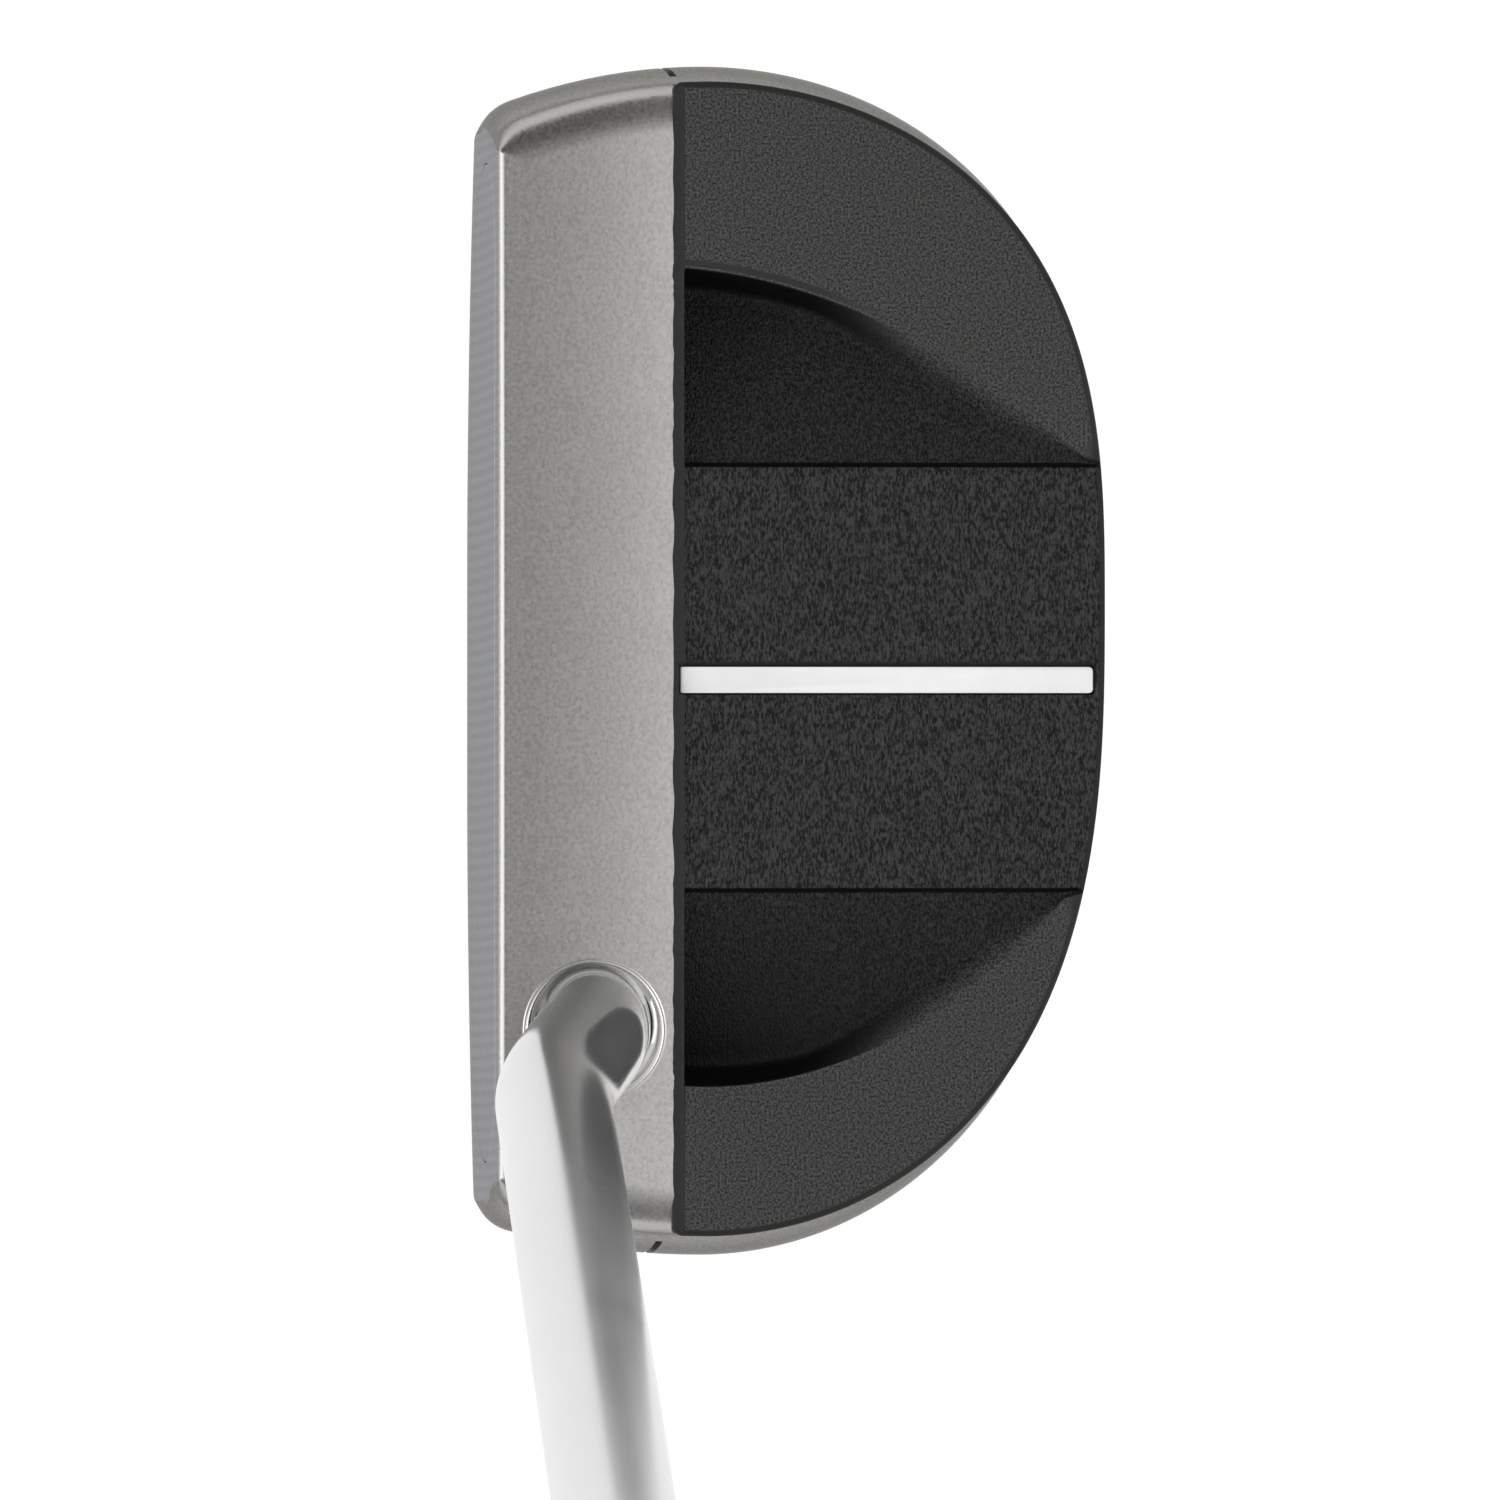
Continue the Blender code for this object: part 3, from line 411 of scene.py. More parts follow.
def rear_edge_y(x):
    reach = (WIDEST.x - CROWN[0]) if x < WIDEST.x else (CROWN[1] - WIDEST.x)
    share = abs(x - WIDEST.x) / reach
    return WIDEST.y + (CROWN[2] - WIDEST.y) * (1 - share**SIDE_POWER) ** (1 / REAR_POWER)


def end_outline(band_x, front, count=200):
    side = math.copysign(1, band_x)
    end = CROWN[0] if side < 0 else CROWN[1]
    taper = TOE_TAPER if side < 0 else HEEL_TAPER
    line = [Vector((end - side * taper * (WIDEST.y - front) ** 2, front))]
    last_x = band_x + side * 2.6 * MM
    for i in range(count + 1):
        angle = math.pi / 2 * (i / count)
        x = WIDEST.x + side * abs(end - WIDEST.x) * math.cos(angle) ** (2 / SIDE_POWER)
        if side * (x - last_x) > 0:
            line.append(Vector((x, rear_edge_y(x))))
    line.append(Vector((last_x, rear_edge_y(last_x))))
    return line


def along(line, share):
    steps = [(b - a).length for a, b in zip(line, line[1:])]
    left = share * sum(steps)
    for a, b, step in zip(line, line[1:], steps):
        if left <= step:
            return a.lerp(b, left / step)
        left -= step
    return line[-1].copy()


def blend(low, high, share):
    share = min(1.0, max(0.0, share))
    return low + (high - low) * share * share * (3 - 2 * share)


def mix(first, second, share):
    return tuple(a + (b - a) * share for a, b in zip(first, second))


def lip_wave(x):
    """How far the ragged front edge of the black strays from its line, in millimetres."""
    wave = 0.04 * math.sin(x * 1300) + 0.035 * math.sin(x * 3100 + 1) + 0.025 * math.sin(x * 7300 + 2)
    return wave - 0.09


class Deck:
    """The deck's top as rows from the front lip to the rear edge; each point carries a surface look.

    That look is (random grain, grain along x, darkness of the base colour); the darkness holds painted shade
    in the scoops and on their walls, a painted highlight on the ridges, and the darker band, floors, edges
    and front strip."""

    # Looks as (random grain, grain along x, base colour factor). Painted shade: the wall and deep-scoop
    # values, the heel's darker than the toe's; the scoop floor is partly painted shade, partly darker paint.
    # The ridge value is a painted highlight. The band, edge, front strip and rolled strip are darker base
    # colour.
    WING, EDGE, BAND, LIP = (1.15, 0, 1), (0, 0, 0.33), (0.5, 1.5, 0.43), (0.1, 0, 0.42)
    WALL, FLOOR, TOE_DEEP, HEEL_DEEP = (0.1, 0, 0.06), (1.2, 1.4, 0.25), (1.3, 1.0, 0.18), (0.6, 0.4, 0.05)
    RIDGE, ROLLED = (1, 0, 1.25), (0.2, 0, 0.5)

    def __init__(self):
        bands = ((-1, BAND_TOE), (1, BAND_HEEL))
        self.lines = {side: end_outline(band, DECK_FRONT + LIP) for side, band in bands}

    def half(self, side, share):
        """Points (x, y, drop, look with painted shade) from the outer edge to the band's edge."""
        band_x, arc = (BAND_TOE, TOE_ARC) if side < 0 else (BAND_HEEL, HEEL_ARC)
        line = self.lines[side]
        outer = along(line, share)
        near = along(line, min(1.0, share + 0.01)) - along(line, max(0.0, share - 0.01))
        inward = Vector((near.y, -near.x)).normalized() * -side
        points = []
        for i in range(7):
            angle = math.pi / 2 * i / 6
            place = outer + inward * DECK_EDGE * (1 - math.cos(angle))
            points.append((place.x, place.y, DECK_EDGE * (1 - math.sin(angle)), self.EDGE))
        inner = outer + inward * DECK_EDGE * 1.3
        front = DECK_FRONT + LIP * (1 - share)
        ridge = bezier(arc, share)
        ridge.y += (DECK_FRONT + LIP - arc[0].y) * (1 - share)
        band = Vector((band_x, front + (rear_edge_y(band_x) - front) * share))
        reach = (band - ridge).length
        soft = blend(0, 1, (share - 0.28) / 0.34)
        width = (ridge - inner).length
        # on the toe side the strip before the ridge is darker; the ridge point gets a painted highlight
        rolled = mix(self.ROLLED if side < 0 else self.WING, self.WING, soft)
        for i in range(10):
            place = inner.lerp(ridge, i / 10 * max(0.1, 1 - 0.9 * MM / width))
            points.append((place.x, place.y, 0.0, self.WING))
        for offset, finish in ((0.75, self.WING), (0.6, rolled), (0.25, rolled), (0.1, self.RIDGE)):
            place = inner.lerp(ridge, max(0.1, 1 - offset * MM / width))
            points.append((place.x, place.y, 0.0, mix(finish, self.WING, soft)))
        depth = SCOOP_STEP * (1 - 0.5 * share) + BAND_DROP
        deep = depth + (SCOOP_DEPTH - depth) * (1 - share) ** 1.3 * (1 - share**4)
        # painted shade: the deep front of each scoop is darker, the heel's more than the toe's, fading to
        # the floor's value
        dark = mix(self.TOE_DEEP if side < 0 else self.HEEL_DEEP, self.FLOOR, blend(0, 1, share / 0.75))
        wall = min((1.9 + 2.6 * soft) * MM * (1 - 0.3 * share), 0.5 * reach)
        for i in range(15):
            t = i / 14
            place = ridge.lerp(band, t * wall / reach)
            fall = (1 - soft) * (1 - (1 - t) ** 1.8) + soft * blend(0, 1, t)
            # painted shade on the scoop's steep wall, painted highlight on the ridge point
            crisp = mix(self.WALL, dark, blend(0, 1, t * 2.5 - 1.5)) if i else self.RIDGE
            finish = mix(crisp, mix(self.WING, dark, blend(0, 1, t)), soft)
            points.append((place.x, place.y, deep * fall, finish))
        for i in range(1, 17):
            t = i / 17
            place = ridge.lerp(band, (wall + (reach - wall - 0.42 * MM) * t) / reach)
            drop = depth + (deep - depth) * (1 - t) ** 1.15
            points.append((place.x, place.y, drop, mix(dark, self.FLOOR, t)))
        # the band's small step: painted shade on its wall
        for offset, drop, finish in ((0.42, depth, self.FLOOR), (0.36, depth + 0.05 * MM, self.EDGE),
                                     (0.26, depth * 0.8 + 0.2 * BAND_DROP, self.WALL),
                                     (0.1, BAND_DROP + 0.05 * MM, self.WALL), (0.0, BAND_DROP, self.BAND)):
            points.append((band.x + side * offset * MM, band.y, drop, finish))
        if share == 1:
            spread = (band.x - outer.x) / (points[-1][0] - points[0][0])
            xs = [outer.x + (point[0] - points[0][0]) * spread for point in points]
            points = [(x, rear_edge_y(x), p[2], p[3]) for x, p in zip(xs, points)]
        return points

    def row(self, share):
        toe, heel = self.half(-1, share), self.half(1, share)
        front = DECK_FRONT + LIP * (1 - share)
        band = []
        for i in range(1, 24):
            x = BAND_TOE + (BAND_HEEL - BAND_TOE) * i / 24
            band.append((x, front + (rear_edge_y(x) - front) * share, BAND_DROP, self.BAND))
        return toe + band + heel[::-1]

    def lip(self):
        """The smooth strip along the front, its edge slightly wavy and its corners rounded."""
        first = self.row(0.0)
        profile = [(0.0, 0.03), (0.02, -0.01), (0.1, -0.012), (0.2, 0.0), (0.45, 0.0)]
        profile += [(LIP / MM - 0.16, 0.0), (LIP / MM - 0.04, 0.05)]
        made = []
        for offset, drop in profile:
            corner = max(0.0, LIP_CORNER - offset * MM)
            inset = LIP_CORNER - math.sqrt(LIP_CORNER**2 - corner**2)
            row = []
            for x, _, edge_drop, _ in first:
                back = offset + lip_wave(x) if offset < 0.2 else offset
                at_end = abs(x) > 45 * MM and edge_drop > 0
                z_drop = edge_drop if at_end else drop * MM
                row.append((x * (1 - inset / (50 * MM)), DECK_FRONT + back * MM, z_drop, self.LIP))
            made.append(row)
        return made

    def rows(self):
        shares = [0.002, 0.012, 0.03] + [0.03 + 0.97 * i / 72 for i in range(1, 73)]
        made = self.lip() + [self.row(share) for share in shares]
        last = made.pop()
        for i in range(6):
            back = DECK_EDGE * (1 - math.sin(math.pi / 2 * i / 5))
            row = []
            for k, (x, y, drop, _) in enumerate(last):
                from_end = min(k, len(last) - 1 - k, 6)
                inset = min(back, DECK_EDGE * (1 - math.cos(math.pi / 12 * from_end)))
                fall = DECK_EDGE - math.sqrt(DECK_EDGE**2 - (DECK_EDGE - inset) ** 2)
                row.append((x, y - inset, fall if from_end < 6 else max(drop, fall), self.EDGE))
            made.append(row)
        return made


def build_deck():
    rows = Deck().rows()
    bm = bmesh.new()
    # the third value stored per vertex carries painted shade and painted highlight for the scoops, walls and
    # ridges, besides darker paint
    layer = {name: bm.verts.layers.float.new(name) for name in ("grain", "streak", "tone")}
    grid = [[bm.verts.new((x, y, HEIGHT - drop)) for x, y, drop, _ in row] for row in rows]
    finishes = {vertex: point[3] for verts, row in zip(grid, rows) for vertex, point in zip(verts, row)}
    for low, high in zip(grid, grid[1:]):
        for i in range(len(low) - 1):
            bm.faces.new((low[i], low[i + 1], high[i + 1], high[i]))
    loop = grid[0] + [row[-1] for row in grid[1:]] + grid[-1][-2::-1] + [row[0] for row in grid[-2:0:-1]]
    rings = [loop]
    wide, under = (1, 1, 0), DECK_SPLIT + 0.05 * MM
    for z, scale in ((22.5 * MM, wide), (under, wide), (under, PLUG_SCALE), (PLUG_END, PLUG_SCALE)):
        back = DECK_FRONT + scale[2]
        ring = [bm.verts.new((v.co.x * scale[0], back + (v.co.y - DECK_FRONT) * scale[1], z)) for v in loop]
        finishes.update({vertex: Deck.EDGE for vertex in ring})
        rings.append(ring)
    for high, low in zip(rings, rings[1:]):
        for i in range(len(high)):
            j = (i + 1) % len(high)
            bm.faces.new((high[i], high[j], low[j], low[i]))
    bm.faces.new(rings[-1])
    for vertex in bm.verts:
        vertex.co = settled(vertex.co)
    for vertex, finish in finishes.items():
        for name, value in zip(layer, finish):
            vertex[layer[name]] = value
    made = from_bmesh("fine_rear_deck", bm)
    combine(made, line_bar("slot", 0.1 * MM, -0.85 * MM, 3 * MM))
    return smooth(made, 40)


def line_bar(name, margin, low, high, bevel=0.0):
    """The sightline's bar, rounded at its rear end; low and high are heights from the band."""
    half, soft = LINE_HALF_WIDTH + margin, LINE_CORNER
    start, end = LINE_START - margin, rear_edge_y(0) - LINE_END + margin
    points = []
    for cx, cy, turn in ((half - soft, end - soft, 0), (soft - half, end - soft, 90),
                         (soft - half, start + soft, 180), (half - soft, start + soft, 270)):
        radius = soft if turn in (0, 90) else 0.08 * MM
        cy = cy if turn in (0, 90) else start + radius
        cx = math.copysign(half - radius, cx)
        for i in range(7):
            angle = math.radians(turn + 15 * i)
            points.append(Vector((cx + radius * math.cos(angle), cy + radius * math.sin(angle))))
    base = HEIGHT - BAND_DROP
    rings = [[(p.x, p.y, base + low) for p in points], [(p.x, p.y, base + high - bevel) for p in points]]
    if bevel:
        centre = Vector((0, (start + end) / 2))
        inner = [p + (centre - p).normalized() * bevel * 1.2 for p in points]
        rings.append([(p.x, p.y, base + high) for p in inner])
    return skin(name, rings)


# ---------------------------------------------------------------- shaft


def bend_end():
    slanted = (BEND_OFFSET - 2 * BEND_RADIUS * (1 - math.cos(BEND_ANGLE))) / math.tan(BEND_ANGLE)
    return BEND_START + 2 * BEND_RADIUS * math.sin(BEND_ANGLE) + slanted


def shaft_path(bend_steps=28):
    path = [(0.3 * MM - SOCKET_DEPTH, 0.0, 0.0), (-8 * MM, 0.0, 0.0)]
    turns = [BEND_ANGLE * i / bend_steps for i in range(bend_steps + 1)]
    for turn in turns:
        out, rise = BEND_RADIUS * (1 - math.cos(turn)), BEND_RADIUS * math.sin(turn)
        path.append((BEND_START + rise, out, turn))
    for turn in turns[::-1]:
        out, rise = BEND_RADIUS * (1 - math.cos(turn)), BEND_RADIUS * math.sin(turn)
        path.append((bend_end() - rise, BEND_OFFSET - out, turn))
    path += [(bend_end() + 43.5 * MM * (i / 29) ** 1.5, BEND_OFFSET, 0.0) for i in range(1, 30)]
    for i in range(STEP_COUNT):
        place = FIRST_STEP + i * STEP_PITCH
        path += [(place + STEP_LENGTH * j / 8, BEND_OFFSET, 0.0) for j in range(-1, 10)]
    top = CLUB_LENGTH - SOCKET.z / math.cos(LEAN) - CAP_THICK - 0.3 * MM
    return path + [(top, BEND_OFFSET, 0.0)]


def shaft_radius(up):
    steps = (up - FIRST_STEP) / STEP_PITCH
    if steps < 0:
        return TIP_RADIUS
    whole = min(STEP_COUNT - 1, int(steps + 1e-6))
    climb = (up - FIRST_STEP - whole * STEP_PITCH) / STEP_LENGTH
    return TIP_RADIUS + STEP_GROWTH * (whole + blend(0, 1, climb))


def build_shaft(sides=128):
    rings = []
    for up, forward, slant in shaft_path():
        direction = AXIS * math.cos(slant) - Vector((0, math.sin(slant), 0))
        rings.append((shaft_point(up, forward), direction, shaft_radius(up)))
    outside = [circle(c, d, r, sides) for c, d, r in rings]
    inside = [circle(c, d, r - SHAFT_WALL, sides) for c, d, r in rings[::-1]]
    return smooth(skin("fine_shaft", outside + inside, looped=True), 60)


# ---------------------------------------------------------------- grip


def butt_point(down=0.0):
    return shaft_point(CLUB_LENGTH - SOCKET.z / math.cos(LEAN) - down, BEND_OFFSET)


def grip_size(share):
    bulge = math.exp(-(((share - 0.1) / 0.13) ** 2))
    return (12.6 - 2.4 * share) * MM, (10.9 - 1.2 * share) * MM, (13.2 + 3.6 * bulge - 3.2 * share) * MM


def grip_ring(share, down, inset=0.0, sides=112, pattern=False):
    half_width, thumb, palm = (size - inset for size in grip_size(share))
    centre = butt_point(down)
    forward = Vector((-AXIS.z, 0, AXIS.x))
    ring = []
    for i in range(sides):
        angle = math.tau * i / sides
        sine, cosine = math.sin(angle), math.cos(angle)
        power, reach = (0.34, thumb) if cosine > 0 else (0.95, palm)
        depth = math.copysign(abs(cosine) ** power, cosine) * reach
        width = math.copysign(abs(sine) ** 0.8, sine) * half_width
        sunk = groove(angle, down) if pattern else 0.0
        scale = 1 - sunk / max(0.004, math.hypot(depth, width))
        ring.append(centre + (forward * depth + Vector((0, width, 0))) * scale)
    return ring


def groove(angle, down):
    """Depth of the wrap's moulded grooves: lines beside the thumb flat, end rings and fine gripping ribs."""
    turn = math.degrees(angle) % 360
    turn = min(turn, 360 - turn)
    place = down / MM
    lengthwise = blend(0, 1, (place - 17) / 2) * blend(0, 1, (249 - place) / 2)
    edge = math.exp(-(((turn - 82) / 2.4) ** 2)) * 0.35 * lengthwise
    ends = sum(math.exp(-(((place - ring) / 0.7) ** 2)) for ring in (11, 14, 252, 255)) * 0.3
    palm = blend(0, 1, (turn - 96) / 6) * blend(0, 1, (place - 24) / 4) * blend(0, 1, (242 - place) / 4)
    thumb = blend(0, 1, (52 - turn) / 8) * blend(0, 1, (place - 60) / 4) * blend(0, 1, (205 - place) / 4)
    ribs = 0.28 * palm * (0.5 - 0.5 * math.cos(math.tau * place / 3.6)) ** 3
    bars = 0.25 * thumb * (0.5 - 0.5 * math.cos(math.tau * place / 7.2)) ** 8
    return max(edge, ends, ribs, bars) * MM


def build_grip():
    start, end = CAP_THICK + 0.05 * MM, GRIP_LENGTH - COLLAR_LENGTH - 0.05 * MM
    count = 560
    downs = [start + (end - start) * i / count for i in range(count + 1)]
    outside = [grip_ring(d / GRIP_LENGTH, d, pattern=True) for d in downs]
    inside = [grip_ring(d / GRIP_LENGTH, d, WRAP_THICK) for d in downs[::-20]]
    wrap = smooth(skin("fine_grip_wrap", outside + inside, looped=True), 50)
    rings = []
    for i in range(9):
        angle = math.pi / 2 * i / 8
        rings.append(grip_ring(0.0, 0.9 * MM * (1 - math.cos(angle)), 0.9 * MM * (1 - math.sin(angle))))
    rings.append(grip_ring(0.0, CAP_THICK - 0.05 * MM))
    cap = skin("fine_grip_end_cap", rings)
    combine(cap, rod("vent", butt_point(-MM), butt_point(CAP_THICK + MM), VENT_RADIUS, 48))
    share = 1 - COLLAR_LENGTH / GRIP_LENGTH
    rings = [grip_ring(share, GRIP_LENGTH - COLLAR_LENGTH)]
    for i in range(9):
        angle = math.pi / 2 * i / 8
        down = GRIP_LENGTH - 1.2 * MM * (1 - math.sin(angle))
        rings.append(grip_ring(1.0, down, 0.9 * MM * (1 - math.cos(angle))))
    collar = skin("fine_grip_collar", rings)
    radius = shaft_radius(CLUB_LENGTH - SOCKET.z / math.cos(LEAN) - GRIP_LENGTH + 12 * MM) + 0.05 * MM
    combine(collar, rod("bore", butt_point(GRIP_LENGTH + 5 * MM), butt_point(GRIP_LENGTH - 12 * MM), radius))
    return wrap, smooth(cap, 40), smooth(collar, 40)


# ---------------------------------------------------------------- materials


class Look:
    """A Principled material with a few shortcuts for its node tree."""

    def __init__(self, name, colour, metallic, roughness, **inputs):
        self.material = bpy.data.materials.new(name)
        self.material.use_nodes = True
        self.tree = self.material.node_tree
        self.shader = self.tree.nodes["Principled BSDF"]
        self.shader.inputs["Base Color"].default_value = (*colour, 1)
        self.shader.inputs["Metallic"].default_value = metallic
        self.shader.inputs["Roughness"].default_value = roughness
        for key, value in inputs.items():
            self.shader.inputs[key.replace("_", " ")].default_value = value
        self.colour = colour
        self.place = self.add("ShaderNodeTexCoord").outputs["Object"]

    def add(self, kind, **settings):
        node = self.tree.nodes.new(kind)
        for key, value in settings.items():
            setattr(node, key, value)
        return node

    def link(self, source, target):
        self.tree.links.new(source, target)

    def math(self, operation, a, b=None):
        node = self.add("ShaderNodeMath", operation=operation)
        for socket, value in zip(node.inputs, (a, b)):
            if value is None:
                continue
            if isinstance(value, (int, float)):
                socket.default_value = value
            else:
                self.link(value, socket)
        return node.outputs[0]

    def attribute(self, name):
        return self.add("ShaderNodeAttribute", attribute_name=name).outputs["Fac"]

    def noise(self, size, detail=2.0, stretch=(1, 1, 1), roughness=0.5):
        """Noise with features of this size in metres, longer along an axis by its stretch."""
        mapping = self.add("ShaderNodeMapping")
        mapping.inputs["Scale"].default_value = [1 / (size * s) for s in stretch]
        self.link(self.place, mapping.inputs["Vector"])
        node = self.add("ShaderNodeTexNoise")
        node.inputs["Scale"].default_value = 1.0
        node.inputs["Detail"].default_value = detail
        node.inputs["Roughness"].default_value = roughness
        self.link(mapping.outputs[0], node.inputs["Vector"])
        return node.outputs["Fac"]

    def spread(self, value, low, high, start=0.3, end=0.7):
        node = self.add("ShaderNodeMapRange")
        for key, number in (("From Min", start), ("From Max", end), ("To Min", low), ("To Max", high)):
            node.inputs[key].default_value = number
        self.link(value, node.inputs["Value"])
        return node.outputs[0]

    def shade(self, factor):
        """Multiplies the base colour by a factor."""
        node = self.add("ShaderNodeVectorMath", operation="SCALE")
        node.inputs[0].default_value = self.colour
        self.link(factor, node.inputs["Scale"])
        self.link(node.outputs[0], self.shader.inputs["Base Color"])

    def rough(self, value):
        self.link(value, self.shader.inputs["Roughness"])

    def bump(self, height, depth, strength=1.0):
        node = self.add("ShaderNodeBump")
        node.inputs["Strength"].default_value = strength
        node.inputs["Distance"].default_value = depth
        self.link(height, node.inputs["Height"])
        self.link(node.outputs[0], self.shader.inputs["Normal"])


def satin_steel():
    look = Look("satin_steel_fine", (0.455, 0.445, 0.43), 1.0, 0.28, Specular_Tint=(0.28, 0.28, 0.275, 1))
    grain = look.noise(0.34 * MM, 3)
    cloud = look.noise(6 * MM, 2)
    factor = look.math("MULTIPLY", look.spread(grain, 0.92, 1.08), look.spread(cloud, 0.975, 1.02))
    look.shade(factor)
    look.rough(look.spread(grain, 0.24, 0.34))
    look.bump(grain, 0.02 * MM, 0.5)
    return look.material


def milled_steel():
    look = Look("milled_steel_fine", (0.42, 0.425, 0.43), 1.0, 0.27, Specular_Tint=(0.42, 0.42, 0.43, 1))
    split = look.add("ShaderNodeSeparateXYZ")
    look.link(look.place, split.inputs[0])
    x, z = split.outputs["X"], split.outputs["Z"]
    drift = look.math("MULTIPLY", look.math("MULTIPLY", look.math("SUBTRACT", z, 0.004), z), 1.2)
    phase = look.math("MULTIPLY", look.math("ADD", x, drift), math.tau / MILL_PITCH)
    wave = look.math("SINE", phase)
    fine = look.math("SINE", look.math("MULTIPLY", phase, 4.0))
    height = look.math("ADD", wave, look.math("MULTIPLY", fine, 0.15))
    grain = look.noise(0.1 * MM, 2)
    look.shade(look.spread(wave, 0.9, 1.06, -1, 1))
    look.rough(look.spread(grain, 0.22, 0.34))
    look.bump(look.math("ADD", height, look.math("MULTIPLY", grain, 0.4)), 0.02 * MM, 1.0)
    return look.material


def black_deck():
    look = Look("black_deck_fine", (0.055, 0.0553, 0.0535), 0.0, 0.5, Specular_IOR_Level=0.2)
    grain, streak, tone = (look.attribute(name) for name in ("grain", "streak", "tone"))
    fine = look.noise(0.2 * MM, 1.5, roughness=0.6)
    pebble = look.noise(0.7 * MM, 2)
    lines = look.noise(0.17 * MM, 1.5, stretch=(2.6, 1, 1))
    height = look.math("ADD", look.math("MULTIPLY", fine, grain), look.math("MULTIPLY", lines, streak))
    random = look.math("MULTIPLY", look.spread(fine, -0.6, 0.6, 0.36, 0.64), grain)
    woven = look.math("MULTIPLY", look.spread(lines, -0.7, 0.7, 0.36, 0.64), streak)
    # base colour times the stored darkness value, which includes painted shade in the scoops and on walls
    # and a painted highlight on the ridges
    look.shade(look.math("MULTIPLY", tone, look.math("ADD", look.math("ADD", random, woven), 1.0)))
    look.rough(look.spread(pebble, 0.42, 0.58))
    look.bump(height, 0.12 * MM, 1.0)
    return look.material


def white_enamel():
    look = Look("white_enamel_fine", (0.97, 0.97, 0.965), 0.0, 0.34, Coat_Weight=0.15)
    grain = look.noise(0.3 * MM, 2)
    split = look.add("ShaderNodeSeparateXYZ")
    look.link(look.place, split.inputs[0])
    # painted light: the line's colour grows lighter towards the rear, standing in for more light falling
    # there
    rearward = look.spread(split.outputs["Y"], 0.97, 1.05, 0.0, CROWN[2])
    look.shade(look.math("MULTIPLY", look.spread(look.noise(2.0 * MM, 2), 0.97, 1.01), rearward))
    look.bump(grain, 0.012 * MM, 0.5)
    return look.material


def chrome():
    """Polished near the head and duller further up."""
    look = Look("chrome_fine", (0.71, 0.712, 0.715), 0.86, 0.28)
    split = look.add("ShaderNodeSeparateXYZ")
    look.link(look.place, split.inputs[0])
    haze = look.spread(look.noise(9 * MM, 1), -0.015, 0.015)
    dull = look.spread(split.outputs["Z"], 0.12, 0.3, 32 * MM, 75 * MM)
    look.rough(look.math("ADD", dull, haze))
    return look.material


def polished_lip():
    """The turned lip of the shaft's counterbore."""
    look = Look("polished_lip_fine", (0.78, 0.77, 0.75), 1.0, 0.16)
    look.rough(look.spread(look.noise(3 * MM, 2), 0.13, 0.2))
    return look.material


def plain_metal(name, colour, roughness):
    look = Look(name, colour, 1.0, roughness)
    grain = look.noise(0.12 * MM, 2)
    look.shade(look.spread(grain, 0.92, 1.06))
    look.rough(look.spread(look.noise(1.5 * MM, 2), roughness - 0.06, roughness + 0.07))
    look.bump(grain, 0.01 * MM, 0.4)
    return look.material


def rubber(name, colour, roughness, size=0.4 * MM, depth=0.05 * MM):
    look = Look(name, colour, 0.0, roughness)
    cells = look.add("ShaderNodeTexVoronoi")
    cells.inputs["Scale"].default_value = 1 / size
    look.link(look.place, cells.inputs["Vector"])
    grain = look.noise(size * 0.4, 2)
    look.shade(look.spread(look.noise(9 * MM, 3), 0.85, 1.15))
    look.rough(look.spread(grain, roughness - 0.08, roughness + 0.08))
    look.bump(look.math("ADD", cells.outputs["Distance"], look.math("MULTIPLY", grain, 0.5)), depth, 0.7)
    return look.material


def fibre(name, colour):
    look = Look(name, colour, 0.0, 0.8)
    grain = look.noise(0.25 * MM, 3, stretch=(3, 1, 1))
    look.shade(look.spread(grain, 0.88, 1.08))
    look.bump(grain, 0.03 * MM, 0.6)
    return look.material


def retouch(node, look):
    """A better material on a CAD node that stays."""
    for slot in NODES[node].material_slots:
        slot.material = look
    smooth(NODES[node])


# ---------------------------------------------------------------- light, floor and camera


def make_camera():
    tilt = CAMERA_TILT
    right = Vector((0, math.cos(tilt), math.sin(tilt)))
    up = Vector((-1, 0, 0))
    back = Vector((0, -math.sin(tilt), math.cos(tilt)))
    data = bpy.data.cameras.new("camera")
    data.sensor_width, data.lens = 36, CAMERA_LENS
    data.clip_start, data.clip_end = 0.05, 20
    camera = bpy.data.objects.new("camera", data)
    bpy.context.scene.collection.objects.link(camera)
    place = CAMERA_AIM + back * CAMERA_DISTANCE
    camera.matrix_world = Matrix.Translation(place) @ Matrix((right, up, back)).transposed().to_4x4()
    bpy.context.scene.camera = camera


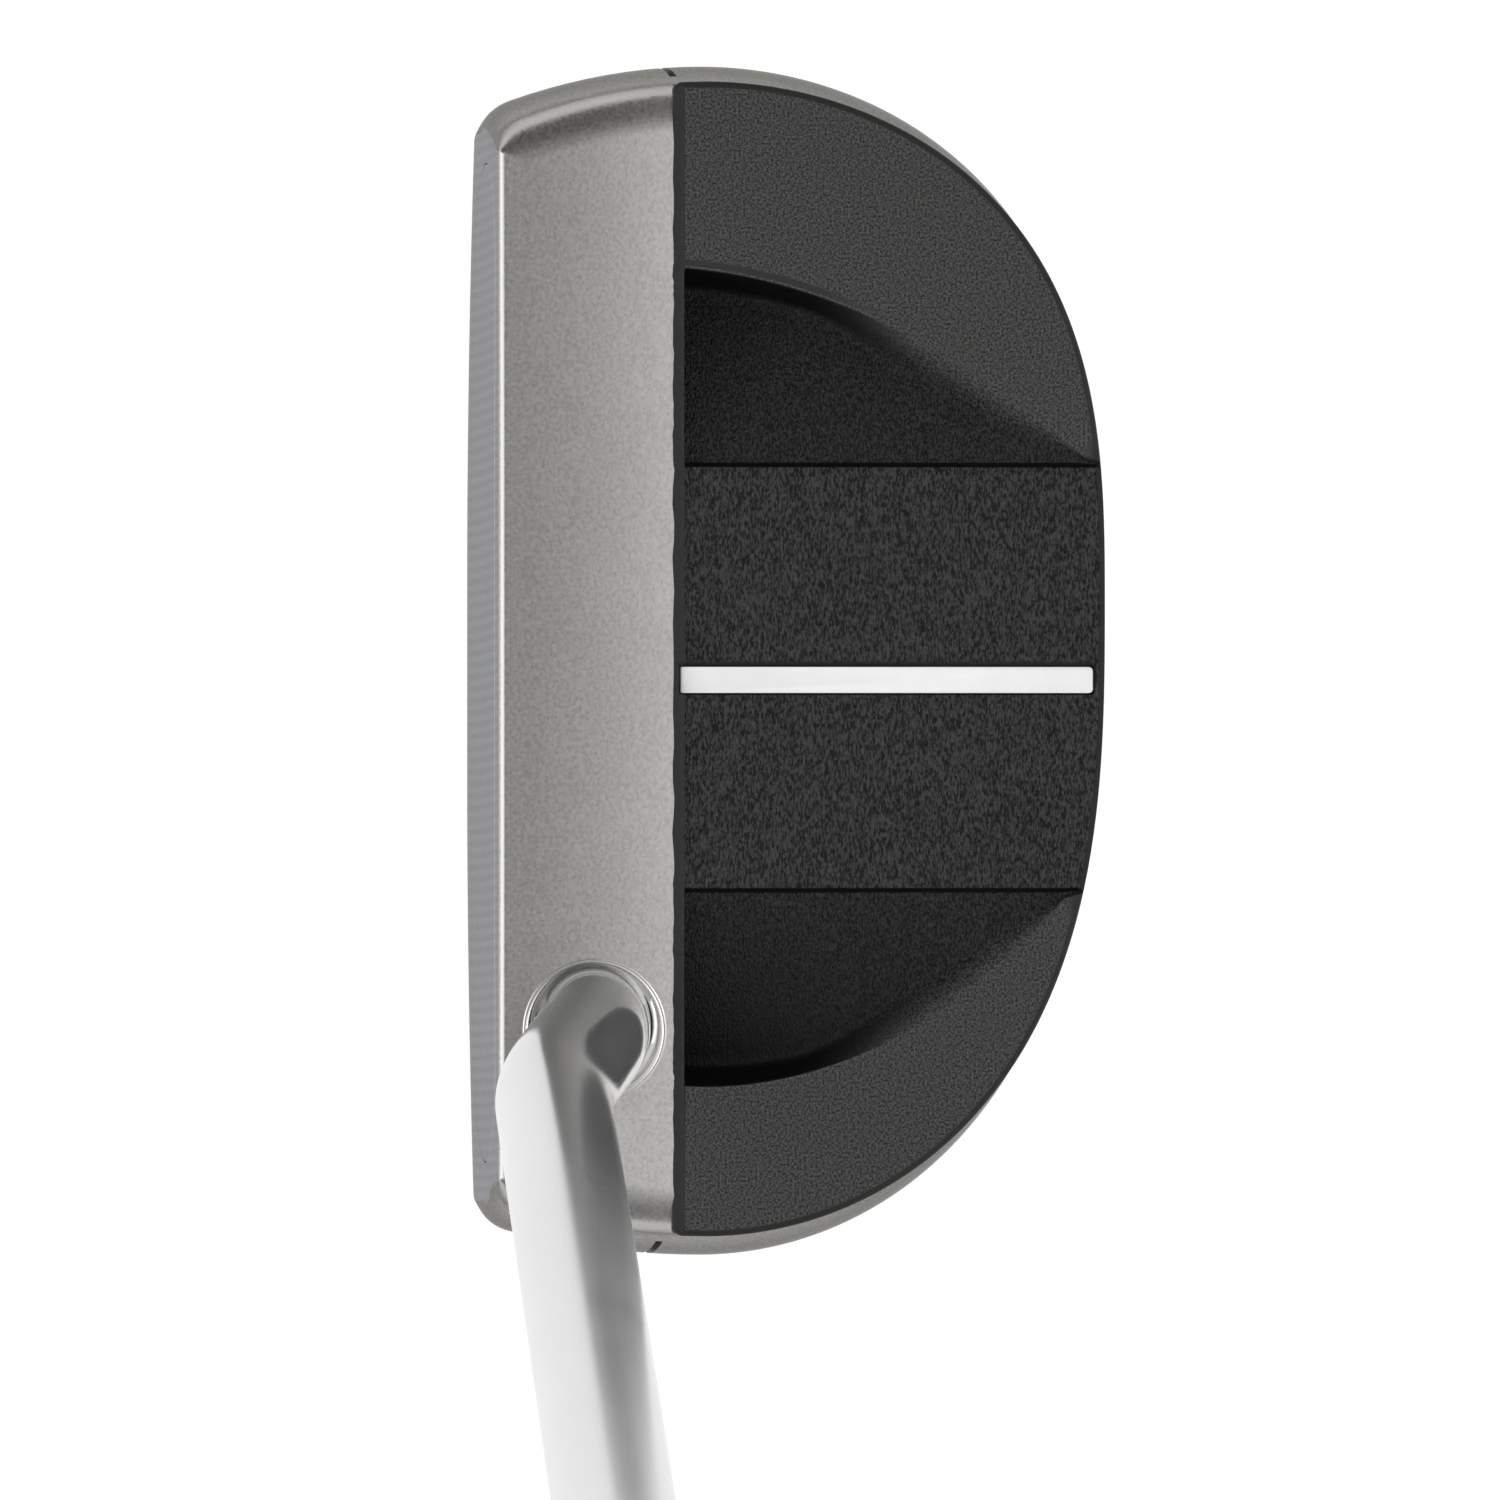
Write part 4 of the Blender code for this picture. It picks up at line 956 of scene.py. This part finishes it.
def make_world():
    """A white studio: even overhead and behind, dimmer in front except low down, and dimmer at both ends."""
    world = bpy.data.worlds.new("studio")
    bpy.context.scene.world = world
    world.use_nodes = True
    tree = world.node_tree
    background = tree.nodes["Background"]
    place = tree.nodes.new("ShaderNodeTexCoord")
    split = tree.nodes.new("ShaderNodeSeparateXYZ")
    tree.links.new(place.outputs["Generated"], split.inputs[0])

    def ramp(source, low, high, start, end):
        node = tree.nodes.new("ShaderNodeMapRange")
        node.interpolation_type = "SMOOTHSTEP"
        for key, number in (("From Min", start), ("From Max", end), ("To Min", low), ("To Max", high)):
            node.inputs[key].default_value = number
        tree.links.new(source, node.inputs["Value"])
        return node.outputs[0]

    def join(operation, first, second):
        node = tree.nodes.new("ShaderNodeMath")
        node.operation = operation
        tree.links.new(first, node.inputs[0])
        tree.links.new(second, node.inputs[1])
        return node.outputs[0]

    across = ramp(split.outputs["Y"], 0.42, 1.18, -0.16, 0.2)
    front = ramp(split.outputs["Y"], 1.9, 0.0, -0.9, -0.55)
    toe = ramp(split.outputs["X"], 0.36, 1.0, -0.75, -0.1)
    heel = ramp(split.outputs["X"], 1.0, 0.5, 0.3, 0.85)
    ends = join("MULTIPLY", toe, heel)
    total = join("MULTIPLY", join("ADD", across, front), ends)
    tree.links.new(total, background.inputs["Strength"])
    background.inputs["Color"].default_value = (1, 1, 1, 1)


def make_light(name, place, aim, size, power):
    data = bpy.data.lights.new(name, "AREA")
    data.shape, data.size, data.size_y = "RECTANGLE", *size
    data.energy = power
    light = bpy.data.objects.new(name, data)
    bpy.context.scene.collection.objects.link(light)
    light.location = place
    light.rotation_euler = (Vector(aim) - Vector(place)).to_track_quat("-Z", "Y").to_euler()


def make_floor():
    bm = bmesh.new()
    bmesh.ops.create_grid(bm, x_segments=4, y_segments=4, size=6)
    floor = from_bmesh("floor", bm)
    floor.location.z = -0.0002
    look = Look("pale_floor", (0.3, 0.3, 0.3), 0.0, 0.9, Emission_Color=(1, 1, 1, 1), Emission_Strength=0.85)
    look.shade(look.spread(look.noise(0.5, 2), 0.99, 1.0))
    floor.data.materials.append(look.material)


# ---------------------------------------------------------------- the putter


def main():
    make_camera()
    make_world()
    make_floor()
    make_light("top_softbox", (0.1, 0.9, 2.0), (0, 0, 0), (1.2, 0.8), 5)

    satin, milled = satin_steel(), milled_steel()
    skin_rubber = rubber("grip_skin_fine", (0.022, 0.022, 0.023), 0.62)
    cap_rubber = rubber("cap_rubber_fine", (0.03, 0.03, 0.031), 0.5, 0.6 * MM, 0.02 * MM)
    fastener = plain_metal("fastener_steel_fine", (0.36, 0.36, 0.37), 0.33)
    weight = plain_metal("weight_steel_fine", (0.5, 0.5, 0.51), 0.28)

    body = build_body()
    body.data.materials.clear()
    for look in (satin, milled, polished_lip()):
        body.data.materials.append(look)
    sort_polygons(body)
    show(body, None, "satin_steel", "head_body")
    show(build_insert(), milled, "milled_steel", "face_insert")
    show(build_deck(), black_deck(), "black_anodised", "rear_deck")
    line = smooth(line_bar("fine_sightline", 0.0, -0.8 * MM, -0.02 * MM, 0.08 * MM), 60)
    show(line, white_enamel(), "white_enamel", "sightline_fill")
    show(build_shaft(), chrome(), "chrome", "shaft")
    wrap, cap, collar = build_grip()
    show(wrap, skin_rubber, "grip_skin", "grip_wrap")
    show(cap, cap_rubber, "cap_rubber", "grip_end_cap")
    show(collar, cap_rubber, "cap_rubber", "grip_collar")

    retouch("face_bond_film", fibre("bond_film_fine", (0.35, 0.30, 0.18)))
    retouch("sole_plate", milled)
    for name in NODES:
        if "screw" in name:
            retouch(name, fastener)
    for name in ("toe_weight", "heel_weight"):
        retouch(name, weight)
    retouch("shaft_tip_plug", rubber("plug_rubber_fine", (0.05, 0.05, 0.05), 0.75))
    retouch("grip_tape", fibre("tape_fine", (0.75, 0.73, 0.66)))
    retouch("grip_underlisting", rubber("underlisting_fine", (0.12, 0.12, 0.12), 0.8))

    bpy.context.scene.view_settings.view_transform = "Standard"


main()
